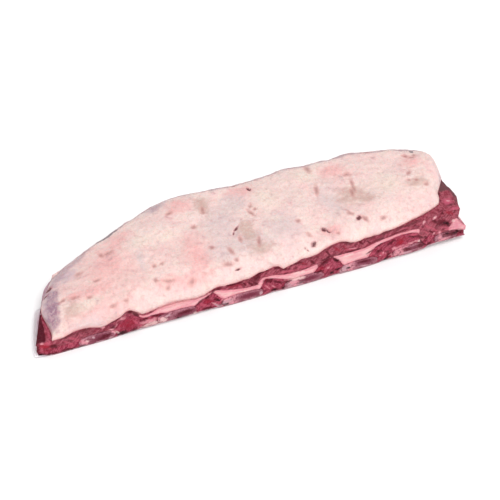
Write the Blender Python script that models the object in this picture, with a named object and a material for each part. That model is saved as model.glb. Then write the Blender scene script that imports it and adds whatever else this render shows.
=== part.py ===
"""A slab of raw beef ribs, lying bone side down with its fat cap on top.

The slab is a stack of layers that run through it from the front cut face to the
back one: an inner skin, seven rib bones with meat between them, a seam of fat,
the outer muscle and the fat cap.  Every layer is a loft over one shared grid.
A column of the grid follows a rib from front to back, and a row crosses all the
ribs, so neighbouring layers have matching facets and keep an even gap.
"""
import math

import bmesh
import bpy
import numpy as np
from mathutils import Vector
from mathutils.geometry import delaunay_2d_cdt

MM = 0.001

# Plan, seen from above.  The front cut face lies on y = 0, its left end at x = 0.
LENGTH = 427 * MM
WIDTH = 127 * MM
LEFT_TAPER = 0.44          # share of the width that is missing at the left end
LEFT_TAPER_REACH = 130 * MM
LEFT_TAPER_POWER = 1.7
RIGHT_TAPER = 0.10         # share of the width lost by the right end
RIGHT_TAPER_START = 230 * MM
RIGHT_CORNER = 70 * MM     # length of the rounded back corner at the right end
RIGHT_CORNER_DEPTH = 45 * MM
LEFT_CORNER = 22 * MM
LEFT_CORNER_DEPTH = 10 * MM
BULGES = (                 # swellings of the back edge: place, size and reach
    (132 * MM, 9 * MM, 38 * MM),
    (262 * MM, 5 * MM, 14 * MM),
    (337 * MM, 5 * MM, 17 * MM),
)
LEFT_SLANT = 0.38          # sideways run of the left end for each metre of depth
RIGHT_SLANT = 0.09
RIGHT_STEP = 3 * MM        # how far the ribs stand out of the right end in front
RIGHT_STEP_REACH = 60 * MM
RIGHT_NOTCH = 2.5 * MM     # how far the muscle's right end is drawn in at the front
RIGHT_NOTCH_REACH = 20 * MM

# The rib bones, front left to right: centre and half width on the front cut face,
# and how far the underside stands off the ground there.
RIBS = (
    (55 * MM, 17 * MM, 0.0),
    (130 * MM, 19 * MM, 1.5 * MM),
    (194 * MM, 20.5 * MM, 0.0),
    (256 * MM, 20 * MM, 0.0),
    (313 * MM, 19 * MM, 0.0),
    (365 * MM, 16.5 * MM, 1.5 * MM),
    (406.5 * MM, 14 * MM, 5 * MM),
)
RIB_THICKNESS = 10 * MM
SHOULDER = 0.88            # the section's corners, as shares of the half sizes
SHOULDER_RISE = 0.6
FLAT = 0.52

# Where the seam of fat lies on each bone, as the first and last grid column of
# the bone that it touches: 0 is the left tip and 5 the right one.
SEAM_FEET = ((2, 4), (2, 4), (1, 4), (2, 3), (1, 3), (4, 4), (1, 5))

SKIN = 1.2 * MM            # thickness of the inner skin
SKIN_FLAP = 8 * MM         # how far it hangs out of the left end
FLAP_RISE = 0.3            # powers of its outline, from the front and at the back
FLAP_FALL = 14
RECESS = 1.2 * MM          # how far it is drawn up between two bones
END_LIFT = 3.5 * MM        # how far the underside curls up at the left tip

# Heights on the front cut face, as (place along it, height) in millimetres.
MEAT_CRESTS = (
    ((0, 8), (30, 9)),
    ((76, 16.5), (85, 24.5), (92, 19), (99, 13.6), (108, 14.6), (116, 14.2)),
    ((152, 14.2), (158, 17.8), (165.5, 22), (168, 17.8), (172, 12.8)),
    ((216, 20.6), (227, 17.2), (236, 13)),
    ((267.5, 14), (271, 18), (275, 21.8), (282, 23.8), (287, 22.3), (292, 17)),
    ((324, 16.5), (329, 21.5), (336, 24.4), (346, 26.2), (356, 28), (366, 27.2), (375, 24.8)),
    ((385, 17.5), (390, 18)),
    ((427, 12),),
)
SEAM_TOP = (
    (0, 9.6), (36, 10.8), (55, 13), (70, 12), (76, 18.2), (85.5, 26), (92, 21), (99, 16.6),
    (105, 17), (113, 20), (130, 21.6), (147, 18.8), (157, 19.6), (166, 23.4), (181, 19),
    (190, 17), (200, 15.4), (208.5, 15.2), (212, 21.6), (215, 22.6), (224, 22), (233, 19.4),
    (243, 18.3), (256, 18.4), (265, 19.6), (272, 21.6), (282, 25.2), (287, 24.2),
    (301, 23.8), (318, 24), (329, 27.2), (345, 29.6), (361, 30.8), (374, 29.8), (382, 24.5),
    (390, 20.5), (397, 19), (406, 19.6), (409.5, 21.5), (412.5, 30), (416, 30), (421, 25.6),
    (427, 16),
)
FAT_SEAT = (
    (0, 17), (15, 17), (22, 17), (30, 19.5), (40, 21.6), (48, 21), (60, 16.5), (70, 19.8),
    (80, 24), (85.5, 29.5), (92, 23.2), (98, 18.6), (115, 22), (127, 23.3), (148, 20.3),
    (157, 21.4), (166, 25.6), (169, 27), (175, 25.3), (186, 25.3), (196, 26.4), (202, 25.7),
    (207, 29), (212, 31), (217, 28.6), (221, 31.5), (226, 33), (231, 30.5), (234.5, 25.5),
    (240, 28.3), (247, 29), (251.5, 32.4), (262, 31.3), (269, 33), (273, 36), (281, 38.4),
    (290, 40.6), (297, 38.3), (303, 35.2), (310, 34.4), (319, 36.5), (330, 36), (337, 37.4),
    (346, 37.6), (352, 39.2), (362, 39.8), (385, 41.2), (410, 41.5), (420, 40.5),
)

# Deeper in the slab the muscle evens out, and all layers thin towards the back.
SEAT_LEFT = 18 * MM
SEAT_RIGHT = 41 * MM
EVEN_OUT = 40 * MM
BACK_THINNING = 0.25
THINNEST = 1.4 * MM        # least thickness of the outer muscle

# The fat cap.  Its edge stands back from the muscle at both ends.
CREST_LEFT = 22 * MM
CREST_RIGHT = 56 * MM
CREST_GROWTH = 0.42
CROSS_FALL = 0.1           # share of its height that the crown loses towards its edges
CROWN = 0.45               # place of the crown's highest line across the slab
FRONT_LIP = 2.2 * MM
BACK_LIP = 3 * MM
EDGE_POWER = 2.3           # roundness of the cap's edges
FRONT_ROUND = 30 * MM
BACK_ROUND = 24 * MM
LEFT_ROUND = 22 * MM
RIGHT_ROUND = 9 * MM
LEFT_LEDGE = 14.7 * MM     # bare muscle beside the cap at the left front corner
LEDGE_NARROW = 0.8 * MM    # its least width, and where it is that narrow
LEDGE_NARROW_AT = 44 * MM
LEDGE_BACK = 8 * MM        # its width at the back, and how far back that is
LEDGE_BACK_AT = 81 * MM
# The cap's corner at the right front, as (place, how far its edge stands back).
CAP_CORNER = (
    (355, 0), (369, 3), (380, 5), (392, 9), (400, 12.5), (404, 20), (406, 29), (411, 35),
    (417, 44), (420.5, 49),
)
LUMP = 1.1 * MM            # height of the soft lumps on the cap

FIRST_ROW = 5 * MM
ROW_SHARES = (0.0, 0.09, 0.28, 0.52, 0.76, 0.94, 1.0)
BONE_PROUD = 0.8 * MM      # how far a sawn bone stands out of the meat
HALF_GAP = 0.17 * MM       # each piece keeps this far inside its own outline
SHARPEST = 1.0 * MM        # longest retreat of a knife-edged corner
TINY = 1e-9

COLOURS = {
    "fat_cap": (0.90, 0.66, 0.61),
    "outer_muscle": (0.27, 0.045, 0.062),
    "seam_fat": (0.88, 0.44, 0.47),
    "inner_skin": (0.36, 0.20, 0.24),
    "rib": (0.45, 0.20, 0.22),
    "rib_meat": (0.33, 0.035, 0.060),
}


def smooth(share):
    """Return an S-shaped ramp from 0 to 1."""
    share = np.clip(share, 0.0, 1.0)
    return share * share * (3.0 - 2.0 * share)


def through(points, place):
    """Return the height at a place along the front cut face, from (mm, mm) points."""
    along, height = np.array(points, dtype=float).T * MM
    return np.interp(place, along, height)


def make_columns():
    """Return where the grid's columns cross the front cut face, and each rib's own."""
    columns = [0.0, LEFT_LEDGE]
    rib_columns = []
    for centre, half_width, _lift in RIBS:
        left_tip = centre - half_width
        gap = left_tip - columns[-1]
        columns += [columns[-1] + gap / 3, columns[-1] + 2 * gap / 3]
        rib_columns.append(list(range(len(columns), len(columns) + 6)))
        for share in (-1.0, -SHOULDER, -FLAT, FLAT, SHOULDER, 1.0):
            columns.append(centre + share * half_width)
    columns.append(LENGTH)
    return np.array(columns), rib_columns


COLUMNS, RIB_COLUMNS = make_columns()
LAST = len(COLUMNS) - 1
MUSCLE_LAST = RIB_COLUMNS[-1][5]       # the muscle and the cap end over the last bone


def corner_fall(past, length, fall):
    """Return how far an elliptical corner has fallen off, past its start."""
    share = np.clip(past / length, 0.0, 1.0)
    return fall * (1.0 - np.sqrt(1.0 - share ** 2))


def corner_inset(along):
    """Return how far the cap's front edge stands back at the right front corner."""
    return through(CAP_CORNER, along)


def cap_end(y):
    """Return the place where the cap ends on the right, at a depth y."""
    place, inset = np.array(CAP_CORNER, dtype=float).T * MM
    return np.interp(y, inset, place)


def ledge_width(y):
    """Return the width of the bare muscle at the left end, at a depth y."""
    width = LEFT_LEDGE + (LEDGE_NARROW - LEFT_LEDGE) * smooth(y / LEDGE_NARROW_AT)
    back = smooth((y - LEDGE_NARROW_AT) / (LEDGE_BACK_AT - LEDGE_NARROW_AT))
    return width + (LEDGE_BACK - LEDGE_NARROW) * back


def slab_depth(along):
    """Return the slab's depth, front to back, at a place along its length."""
    left = np.clip(1.0 - along / LEFT_TAPER_REACH, 0.0, 1.0) ** LEFT_TAPER_POWER
    right = RIGHT_TAPER * smooth((along - RIGHT_TAPER_START) / (LENGTH - RIGHT_TAPER_START))
    depth = WIDTH * (1.0 - LEFT_TAPER * left - right)
    depth = depth - corner_fall(along - LENGTH + RIGHT_CORNER, RIGHT_CORNER, RIGHT_CORNER_DEPTH)
    depth = depth - corner_fall(LEFT_CORNER - along, LEFT_CORNER, LEFT_CORNER_DEPTH)
    for place, size, reach in BULGES:
        depth = depth + size * np.exp(-((along - place) / reach) ** 2)
    return depth


def make_plan():
    """Return x and y of every grid point, as arrays of rows by columns."""
    first = FIRST_ROW + corner_inset(COLUMNS)
    depth = slab_depth(COLUMNS)
    rows = [np.zeros_like(COLUMNS)]
    rows += [first + share * (depth - first) for share in ROW_SHARES]
    y = np.array(rows)
    along = np.tile(COLUMNS, (len(rows), 1))
    along[:, 1] = ledge_width(y[:, 1])
    along[:, LAST] -= RIGHT_STEP * smooth(y[:, LAST] / RIGHT_STEP_REACH)
    for column in (MUSCLE_LAST - 1, MUSCLE_LAST):
        along[:, column] -= RIGHT_NOTCH * (1.0 - smooth(y[:, column] / RIGHT_NOTCH_REACH))
    slant = LEFT_SLANT + (RIGHT_SLANT - LEFT_SLANT) * along / LENGTH
    return along, along + slant * y, y


ALONG, PLAN_X, PLAN_Y = make_plan()
ROWS = len(PLAN_X)


def underside():
    """Return the height of the slab's underside, flat below each bone."""
    heights = np.empty(LAST + 1)
    heights[:2] = END_LIFT, 0.0
    for (_centre, _half_width, lift), columns in zip(RIBS, RIB_COLUMNS):
        first, last = columns[0], columns[-1]
        before = heights[first - 3]
        heights[first - 2:first] = (before + lift) / 2 + RECESS
        heights[first:last + 1] = lift
    heights[2:4] = 0.0
    heights[LAST] = RIBS[-1][2]
    return np.tile(heights, (ROWS, 1))


def thinned(front):
    """Let a height on the front cut face fall towards the back of the slab."""
    level = SKIN + RIB_THICKNESS
    fall = 1.0 - BACK_THINNING * (PLAN_Y / WIDTH) ** 2
    return level + (front - level) * fall


def rib_height(rib, slot, side):
    """Return the height of a corner of a rib's section, above or below its middle."""
    rise = (0.0, SHOULDER_RISE, 1.0, 1.0, SHOULDER_RISE, 0.0)[slot]
    half = RIB_THICKNESS / 2
    return SKIN + RIBS[rib][2] + half + side * rise * half


def seam_foot():
    """Return the underside of the seam: on the bones, and over the meat between them."""
    points = []
    for rib, crests in enumerate(MEAT_CRESTS):
        points += [(place, height) for place, height in crests]
        if rib < len(RIBS):
            left, right = SEAM_FEET[rib]
            for slot in range(left, right + 1):
                column = RIB_COLUMNS[rib][slot]
                points.append((COLUMNS[column] / MM, rib_height(rib, slot, 1) / MM))
    heights = thinned(through(points, ALONG))
    for rib, (left, right) in enumerate(SEAM_FEET):
        for slot in range(left, right + 1):
            heights[:, RIB_COLUMNS[rib][slot]] = rib_height(rib, slot, 1)
    return heights


def muscle_top(seam_high):
    """Return the seat of the fat cap on the outer muscle."""
    front = through(FAT_SEAT, ALONG)
    deep = SEAT_LEFT + (SEAT_RIGHT - SEAT_LEFT) * ALONG / LENGTH
    seat = thinned(front + (deep - front) * smooth(PLAN_Y / EVEN_OUT))
    return np.maximum(seat, seam_high + THINNEST)


def rounded(distance, radius):
    """Return how far a rounded edge has risen, 0 at the edge and 1 past its radius."""
    share = np.clip(distance / radius, 0.0, 1.0)
    return (1.0 - (1.0 - share) ** EDGE_POWER) ** (1.0 / EDGE_POWER)


def cap_top(x, y, along, seat):
    """Return the upper face of the fat cap, a lumpy crown that falls to its edges."""
    depth = slab_depth(along)
    front = corner_inset(along)
    across = (y - front) / (depth - front)
    lip = FRONT_LIP + (BACK_LIP - FRONT_LIP) * across
    crest = CREST_LEFT + (CREST_RIGHT - CREST_LEFT) * (along / LENGTH) ** CREST_GROWTH
    crest = crest * (1.0 - CROSS_FALL * ((across - CROWN) / (1.0 - CROWN)) ** 2)
    edges = rounded(y - front, FRONT_ROUND) * rounded(depth - y, BACK_ROUND)
    edges = edges * rounded(along - along[:, 1:2], LEFT_ROUND)
    edges = edges * rounded(cap_end(y) - along, RIGHT_ROUND)
    lumps = np.sin(x / (11 * MM) + 1.3) * np.sin(y / (9 * MM) + x / (31 * MM))
    lumps = lumps + 0.7 * np.sin(x / (23 * MM) - y / (17 * MM))
    base = seat + lip
    return base + (crest - base + LUMP * lumps) * edges


def draw_in(outline):
    """Move the corners of a closed (x, z) outline inwards by half the gap."""
    before = np.roll(outline, 1, axis=0)
    after = np.roll(outline, -1, axis=0)
    area = np.sum(outline[:, 0] * after[:, 1] - after[:, 0] * outline[:, 1])
    turn = math.copysign(1.0, area)

    def inward(edge):
        normal = np.stack([-edge[:, 1], edge[:, 0]], axis=1) * turn
        return normal / np.linalg.norm(normal, axis=1, keepdims=True)

    first, second = inward(outline - before), inward(after - outline)
    spread = 1.0 + np.sum(first * second, axis=1, keepdims=True)
    shift = HALF_GAP * (first + second) / np.maximum(spread, TINY)
    reach = np.linalg.norm(shift, axis=1, keepdims=True)
    return outline + shift * np.minimum(1.0, SHARPEST / np.maximum(reach, TINY))


def build(name, colour, vertices, faces):
    """Make a named object from corner points and faces, with its own material."""
    mesh = bpy.data.meshes.new(name)
    mesh.from_pydata([tuple(vertex) for vertex in vertices], [], faces)
    shape = bmesh.new()
    shape.from_mesh(mesh)
    bmesh.ops.recalc_face_normals(shape, faces=shape.faces)
    shape.to_mesh(mesh)
    shape.free()
    material = bpy.data.materials.new(name)
    material.use_nodes = True
    shader = material.node_tree.nodes["Principled BSDF"]
    shader.inputs["Base Color"].default_value = (*COLOURS[colour], 1.0)
    shader.inputs["Roughness"].default_value = 0.45
    shader.inputs["Metallic"].default_value = 0.0
    mesh.materials.append(material)
    piece = bpy.data.objects.new(name, mesh)
    bpy.data.collections["beef_ribs"].objects.link(piece)
    return piece


def end_faces(outline):
    """Fill a closed (x, z) outline with triangles between its own corners."""
    corners = [Vector((across, height)) / MM for across, height in outline]
    _points, _edges, faces, sources, _more, _other = delaunay_2d_cdt(
        corners, [], [list(range(len(corners)))], 1, TINY)
    return [tuple(sources[corner][0] for corner in face) for face in faces]


def loft(name, colour, ring, x=PLAN_X, y=PLAN_Y):
    """Loft a ring of (column, heights) corners through all rows and close its ends."""
    count = len(ring)
    columns = [column for column, _heights in ring]
    vertices = []
    ends = []
    for row in range(ROWS):
        outline = np.array([(x[row, column], heights[row, column]) for column, heights in ring])
        outline = draw_in(outline)
        for column, (across, height) in zip(columns, outline):
            vertices.append((across, y[row, column], height))
        ends.append(outline)
    faces = [tuple(reversed(face)) for face in end_faces(ends[0])]
    last = (ROWS - 1) * count
    faces += [tuple(last + corner for corner in face) for face in end_faces(ends[-1])]
    for row in range(ROWS - 1):
        for here in range(count):
            there = (here + 1) % count
            near, far = row * count, (row + 1) * count
            if columns[here] <= columns[there]:
                faces.append((near + here, near + there, far + there))
                faces.append((near + here, far + there, far + here))
            else:
                faces.append((near + here, near + there, far + here))
                faces.append((near + there, far + there, far + here))
    return build(name, colour, vertices, faces)


def layer(name, colour, low, high, first, last, **plan):
    """Make a layer between two surfaces, over a run of columns."""
    run = list(range(first, last + 1))
    ring = [(column, low) for column in run]
    ring += [(column, high) for column in reversed(run)]
    return loft(name, colour, ring, **plan)


def even(height):
    """Return a height that is the same all over the grid."""
    return np.full((ROWS, LAST + 1), height)


def make_ribs():
    """Make the rib bones: flat ten-sided sections that run from front to back."""
    proud_y = PLAN_Y.copy()
    proud_y[0] -= BONE_PROUD
    proud_y[-1] += BONE_PROUD
    for rib, columns in enumerate(RIB_COLUMNS):
        ring = [(columns[slot], even(rib_height(rib, slot, -1))) for slot in range(6)]
        ring += [(columns[slot], even(rib_height(rib, slot, 1))) for slot in (4, 3, 2, 1)]
        loft(f"rib_{rib + 1}", "rib", ring, y=proud_y)


def make_rib_meat(skin_top, seam_low):
    """Make the meat beside and between the bones, up to the seam of fat."""
    for gap in range(len(RIBS) + 1):
        ring = []
        first, last = 0, LAST
        low_first, low_last = 0, LAST
        if gap > 0:
            own = RIB_COLUMNS[gap - 1]
            foot = SEAM_FEET[gap - 1][1]
            first = own[foot] + 1
            low_first = own[3]
            ring += [(own[slot], even(rib_height(gap - 1, slot, 1)))
                     for slot in range(foot, 5)]
            ring += [(own[5], even(rib_height(gap - 1, 5, 1)))]
            ring += [(own[4], even(rib_height(gap - 1, 4, -1)))]
        ends = []
        if gap < len(RIBS):
            own = RIB_COLUMNS[gap]
            foot = SEAM_FEET[gap][0]
            last = own[foot] - 1
            low_last = own[2]
            ends += [(own[1], even(rib_height(gap, 1, -1)))]
            ends += [(own[0], even(rib_height(gap, 0, 1)))]
            ends += [(own[slot], even(rib_height(gap, slot, 1)))
                     for slot in range(1, foot + 1)]
        ring += [(column, skin_top) for column in range(low_first, low_last + 1)]
        ring += ends
        ring += [(column, seam_low) for column in range(last, first - 1, -1)]
        loft(f"rib_meat_{gap + 1}", "rib_meat", ring)


def make_slab():
    """Make every layer of the slab."""
    ground = underside()
    skin_top = ground + SKIN
    seam_low = seam_foot()
    seam_high = thinned(through(SEAM_TOP, ALONG))
    seat = muscle_top(seam_high)
    share = PLAN_Y[:, 0] / PLAN_Y[-1, 0]
    flap_x = PLAN_X.copy()
    flap_x[:, 0] -= SKIN_FLAP * share ** FLAP_RISE * (1.0 - share ** FLAP_FALL)
    layer("inner_skin", "inner_skin", ground, skin_top, 0, LAST, x=flap_x)
    make_ribs()
    make_rib_meat(skin_top, seam_low)
    layer("seam_fat", "seam_fat", seam_low, seam_high, 0, LAST)
    layer("outer_muscle", "outer_muscle", seam_high, seat, 0, MUSCLE_LAST)
    cap_x, cap_y, cap_along, cap_seat = (
        grid.copy() for grid in (PLAN_X, PLAN_Y, ALONG, seat))
    share = corner_inset(COLUMNS) / PLAN_Y[1]
    for grid in (cap_x, cap_y, cap_along, cap_seat):
        grid[0] += (grid[1] - grid[0]) * share
    top = cap_top(cap_x, cap_y, cap_along, cap_seat)
    layer("fat_cap", "fat_cap", cap_seat, top, 1, MUSCLE_LAST, x=cap_x, y=cap_y)


def stand_on_origin(pieces):
    """Move the pieces so that the middle of the slab's underside is the origin."""
    corners = np.array([vertex.co for piece in pieces for vertex in piece.data.vertices])
    low, high = corners.min(axis=0), corners.max(axis=0)
    middle = ((low[0] + high[0]) / 2, (low[1] + high[1]) / 2, low[2])
    for piece in pieces:
        for vertex in piece.data.vertices:
            vertex.co -= Vector(middle)


def main():
    """Clear the scene and build the slab."""
    for thing in list(bpy.data.objects):
        bpy.data.objects.remove(thing, do_unlink=True)
    group = bpy.data.collections.new("beef_ribs")
    bpy.context.scene.collection.children.link(group)
    make_slab()
    stand_on_origin(list(group.objects))


main()
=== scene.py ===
"""A slab of raw beef ribs: its fat, muscle, bone and skin, with a floor, lights and a camera."""

import math

import bmesh
import bpy
import numpy as np
from bpy.props import FloatProperty, FloatVectorProperty, PointerProperty
from mathutils import Matrix, Vector, noise
from mathutils.geometry import delaunay_2d_cdt


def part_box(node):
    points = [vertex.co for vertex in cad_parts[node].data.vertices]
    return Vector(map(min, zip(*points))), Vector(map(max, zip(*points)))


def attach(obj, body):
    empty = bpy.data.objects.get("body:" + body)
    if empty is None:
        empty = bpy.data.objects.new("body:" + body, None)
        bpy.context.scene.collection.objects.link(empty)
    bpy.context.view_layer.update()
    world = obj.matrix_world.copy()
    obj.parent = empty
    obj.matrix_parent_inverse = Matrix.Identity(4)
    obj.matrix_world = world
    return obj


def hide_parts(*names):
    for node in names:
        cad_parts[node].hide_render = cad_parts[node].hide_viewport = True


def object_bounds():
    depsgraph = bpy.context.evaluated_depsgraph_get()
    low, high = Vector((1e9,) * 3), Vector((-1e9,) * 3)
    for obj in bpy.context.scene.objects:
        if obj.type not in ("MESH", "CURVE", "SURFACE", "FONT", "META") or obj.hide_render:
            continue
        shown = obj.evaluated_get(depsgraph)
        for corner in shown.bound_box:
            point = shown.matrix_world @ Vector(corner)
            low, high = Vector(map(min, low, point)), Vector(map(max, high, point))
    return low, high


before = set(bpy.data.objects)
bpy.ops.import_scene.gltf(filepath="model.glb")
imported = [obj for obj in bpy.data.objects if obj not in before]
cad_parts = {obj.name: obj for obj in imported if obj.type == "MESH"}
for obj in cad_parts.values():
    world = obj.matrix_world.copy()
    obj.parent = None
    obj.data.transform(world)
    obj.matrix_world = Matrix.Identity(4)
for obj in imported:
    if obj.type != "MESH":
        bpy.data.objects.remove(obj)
SOLID_BOX = [list(corner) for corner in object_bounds()]

bl_info = {
    "name": "Beef Rib Slab",
    "version": (1, 0, 0),
    "blender": (4, 5, 0),
    "location": "View3D > Sidebar > Beef Ribs",
    "description": "Dress a slab of raw beef ribs with fat, muscle, bone and skin",
    "category": "Add Mesh",
}

# ---------------------------------------------------------------------------
# The slab's form, in millimetres.  x runs along the front cut face from its left
# end, y goes back from that face, and z goes up from the ground.

MM = 0.001
LENGTH = 427.0
WIDTH = 127.0
LEFT_TAPER, LEFT_TAPER_REACH, LEFT_TAPER_POWER = 0.44, 130.0, 1.7
RIGHT_TAPER, RIGHT_TAPER_START = 0.10, 230.0
RIGHT_CORNER, RIGHT_CORNER_DEPTH = 70.0, 45.0
LEFT_CORNER, LEFT_CORNER_DEPTH = 22.0, 10.0
BULGES = ((132.0, 9.0, 38.0), (262.0, 5.0, 14.0), (337.0, 5.0, 17.0))
LEFT_SLANT, RIGHT_SLANT = 0.38, 0.09
RIGHT_STEP, RIGHT_STEP_REACH = 3.0, 60.0
RIGHT_NOTCH, RIGHT_NOTCH_REACH = 2.5, 20.0
NOTCH_PLACES = (413.8, 418.8, 420.5, 427.0)

# Rib bones: centre, half width, lift, and the places on each, in half widths, between
# which the seam of fat lies on it.
RIBS = (
    (55.0, 17.0, 0.0, -0.52, 0.88),
    (130.0, 19.0, 1.5, -0.52, 0.88),
    (194.0, 20.5, 0.0, -0.88, 0.88),
    (256.0, 20.0, 0.0, -0.52, 0.52),
    (313.0, 19.0, 0.0, -0.88, 0.52),
    (365.0, 16.5, 1.5, 0.80, 0.88),
    (406.5, 14.0, 5.0, -0.88, 0.98),
)
BONES = tuple(rib[:3] for rib in RIBS)
RIB_THICKNESS = 10.0
RIB_POWER = 2.7            # roundness of a bone's section
RIB_REST = 0.35            # half of the share of its width on which a bone lies flat
BONE_PROUD = 0.8           # of the cut faces
SKIN = 1.2
SKIN_FLAP, FLAP_RISE, FLAP_FALL, FLAP_CURL = 8.0, 0.3, 14.0, 5.0
RECESS = 1.2               # of the underside between two bones
END_LIFT = 3.5             # of the underside at the left end

# Lines on the front cut face, as places along and heights: the tops of the meat between the
# bones, the upper side of the seam, and the upper side of the outer muscle.
MEAT_CRESTS = (
    ((0, 8), (30, 9)),
    ((76, 16.5), (85, 24.5), (92, 19), (99, 13.6), (108, 14.6), (116, 14.2)),
    ((152, 14.2), (158, 17.8), (165.5, 22), (168, 17.8), (172, 12.8)),
    ((216, 20.6), (227, 17.2), (236, 13)),
    ((267.5, 14), (271, 18), (275, 21.8), (282, 23.8), (287, 22.3), (292, 17)),
    ((324, 16.5), (329, 21.5), (336, 24.4), (346, 26.2), (356, 28), (366, 27.2), (375, 24.8)),
    ((385, 17.5), (390, 18)),
    ((427, 12),),
)
SEAM_TOP = (
    (0, 9.6), (36, 10.8), (55, 13), (70, 12), (76, 18.2), (85.5, 26), (92, 21), (99, 16.6),
    (105, 17), (113, 20), (130, 21.6), (147, 18.8), (157, 19.6), (166, 23.4), (181, 19),
    (190, 17), (200, 15.4), (208.5, 15.2), (212, 21.6), (215, 22.6), (224, 22), (233, 19.4),
    (243, 18.3), (256, 18.4), (265, 19.6), (272, 21.6), (282, 25.2), (287, 24.2),
    (301, 23.8), (318, 24), (329, 27.2), (345, 29.6), (361, 30.8), (374, 29.8), (382, 24.5),
    (390, 20.5), (397, 19), (406, 19.6), (409.5, 21.5), (412.5, 30), (416, 30), (421, 25.6),
    (427, 16),
)
FAT_SEAT = (
    (0, 17), (15, 17), (22, 17), (30, 19.5), (40, 21.6), (48, 21), (60, 16.5), (70, 19.8),
    (80, 24), (85.5, 29.5), (92, 23.2), (98, 18.6), (115, 22), (127, 23.3), (148, 20.3),
    (157, 21.4), (166, 25.6), (169, 27), (175, 25.3), (186, 25.3), (196, 26.4), (202, 25.7),
    (207, 29), (212, 31), (217, 28.6), (221, 31.5), (226, 33), (231, 30.5), (234.5, 25.5),
    (240, 28.3), (247, 29), (251.5, 32.4), (262, 31.3), (269, 33), (273, 36), (281, 38.4),
    (290, 40.6), (297, 38.3), (303, 35.2), (310, 34.4), (319, 36.5), (330, 36), (337, 37.4),
    (346, 37.6), (352, 39.2), (362, 39.8), (385, 41.2), (410, 41.5), (420, 40.5),
)
SEAT_LEFT, SEAT_RIGHT, EVEN_OUT = 18.0, 41.0, 40.0
BACK_THINNING = 0.25
THINNEST, THINNEST_SEAM = 1.4, 0.8

# The cap of fat: its ends, the bare ledge at its left, its crest, lips and rounded edges.
CAP_FIRST, CAP_LAST = 14.7, 420.5
LEDGE_NARROW, LEDGE_NARROW_AT = 0.8, 44.0
LEDGE_BACK, LEDGE_BACK_AT = 8.0, 81.0
LEDGE_NEXT = 22.5
CREST_LEFT, CREST_RIGHT, CREST_GROWTH = 22.0, 56.0, 0.42
CROSS_FALL, CROWN = 0.1, 0.45
FRONT_LIP, BACK_LIP = 2.2, 3.0
EDGE_POWER = 2.3
FRONT_ROUND, BACK_ROUND, LEFT_ROUND, RIGHT_ROUND = 30.0, 24.0, 22.0, 9.0
CAP_CORNER = (
    (355, 0), (369, 3), (380, 5), (392, 9), (400, 12.5), (404, 20), (406, 29), (411, 35),
    (417, 44), (420.5, 49),
)
LUMP = 1.1

GAP = 0.06                 # between neighbouring pieces
TRIM = 0.17                # how far the solids stand back inside the outlines above
BEHIND = (0.35, 0.8, 1.6, 2.8, 4.4, 6.5)   # first rows behind a cut face
COLUMN_STEP, MEAT_STEP = 0.9, 1.2          # between columns of points along the slab
FAT_COLUMNS, FAT_ROWS, FAT_FOOT_STEP = 500, 120, 6   # every sixth column along the fat's foot
FAT_STEP, SKIN_STEP = 1.2, 1.0             # between points on these layers' cut faces
TRIANGLE_HEIGHT, CLEARANCE = 0.87, 0.45    # of those points, in their steps
ROLL_WIDTH, SKIN_ROLL = 1.1, 0.25          # of a cut face's rounded edge
RELIEF_SIZE = 3.2                          # of a cut face's roughness

# The fat: how deep its spots are sunk, how high it is tinted like its cut edge, and the
# greyer band of painted shade down its back edge, which grows towards the right.
BLOOD_PIT, STAIN_PIT, PIT_FREE_EDGE = 1.1, 0.7, 2.0
SKIRT_HEIGHT = 5.0
REAR_SHADE_BAND, REAR_SHADE_GROWTH, REAR_SHADE_FADE, REAR_SHADE_LEAST = 6.2, 6.5, 3.4, 0.4

# The muscle: how far down it has painted shade under the fat, where its bare right corner
# starts, how far that bulges at which y, and over what reach.
UNDER_FAT = 4.5
RIGHT_BARE = 396.0
END_BULGE, END_BULGE_AT, END_BULGE_REACH = 2.7, 24.0, 12.0

PALE_RIBS, PALE_SHARE = range(2, 6), 0.58  # the ribs that are paler left of their middle
MARKS_DEPTH = 6.0          # how far behind the front cut face its marks reach
BACK_BEYOND = 40.0         # every back cut face lies beyond this y
LEAN_FADE = 6.0            # over which the seam turns from fat to lean meat

# The corner from which the form is measured, and the box of the solids, in millimetres.
OUTER_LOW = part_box("outer_muscle")[0]
CORNER = np.array([OUTER_LOW.x / MM - TRIM, OUTER_LOW.y / MM, -TRIM])
LOW = np.array(SOLID_BOX[0]) / MM
HIGH = np.array(SOLID_BOX[1]) / MM

# ---------------------------------------------------------------------------
# Marks of each kind: where their middle is, half length, half width and turn in degrees.
# On the cut faces the middle is given by its place along and its height.

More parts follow.
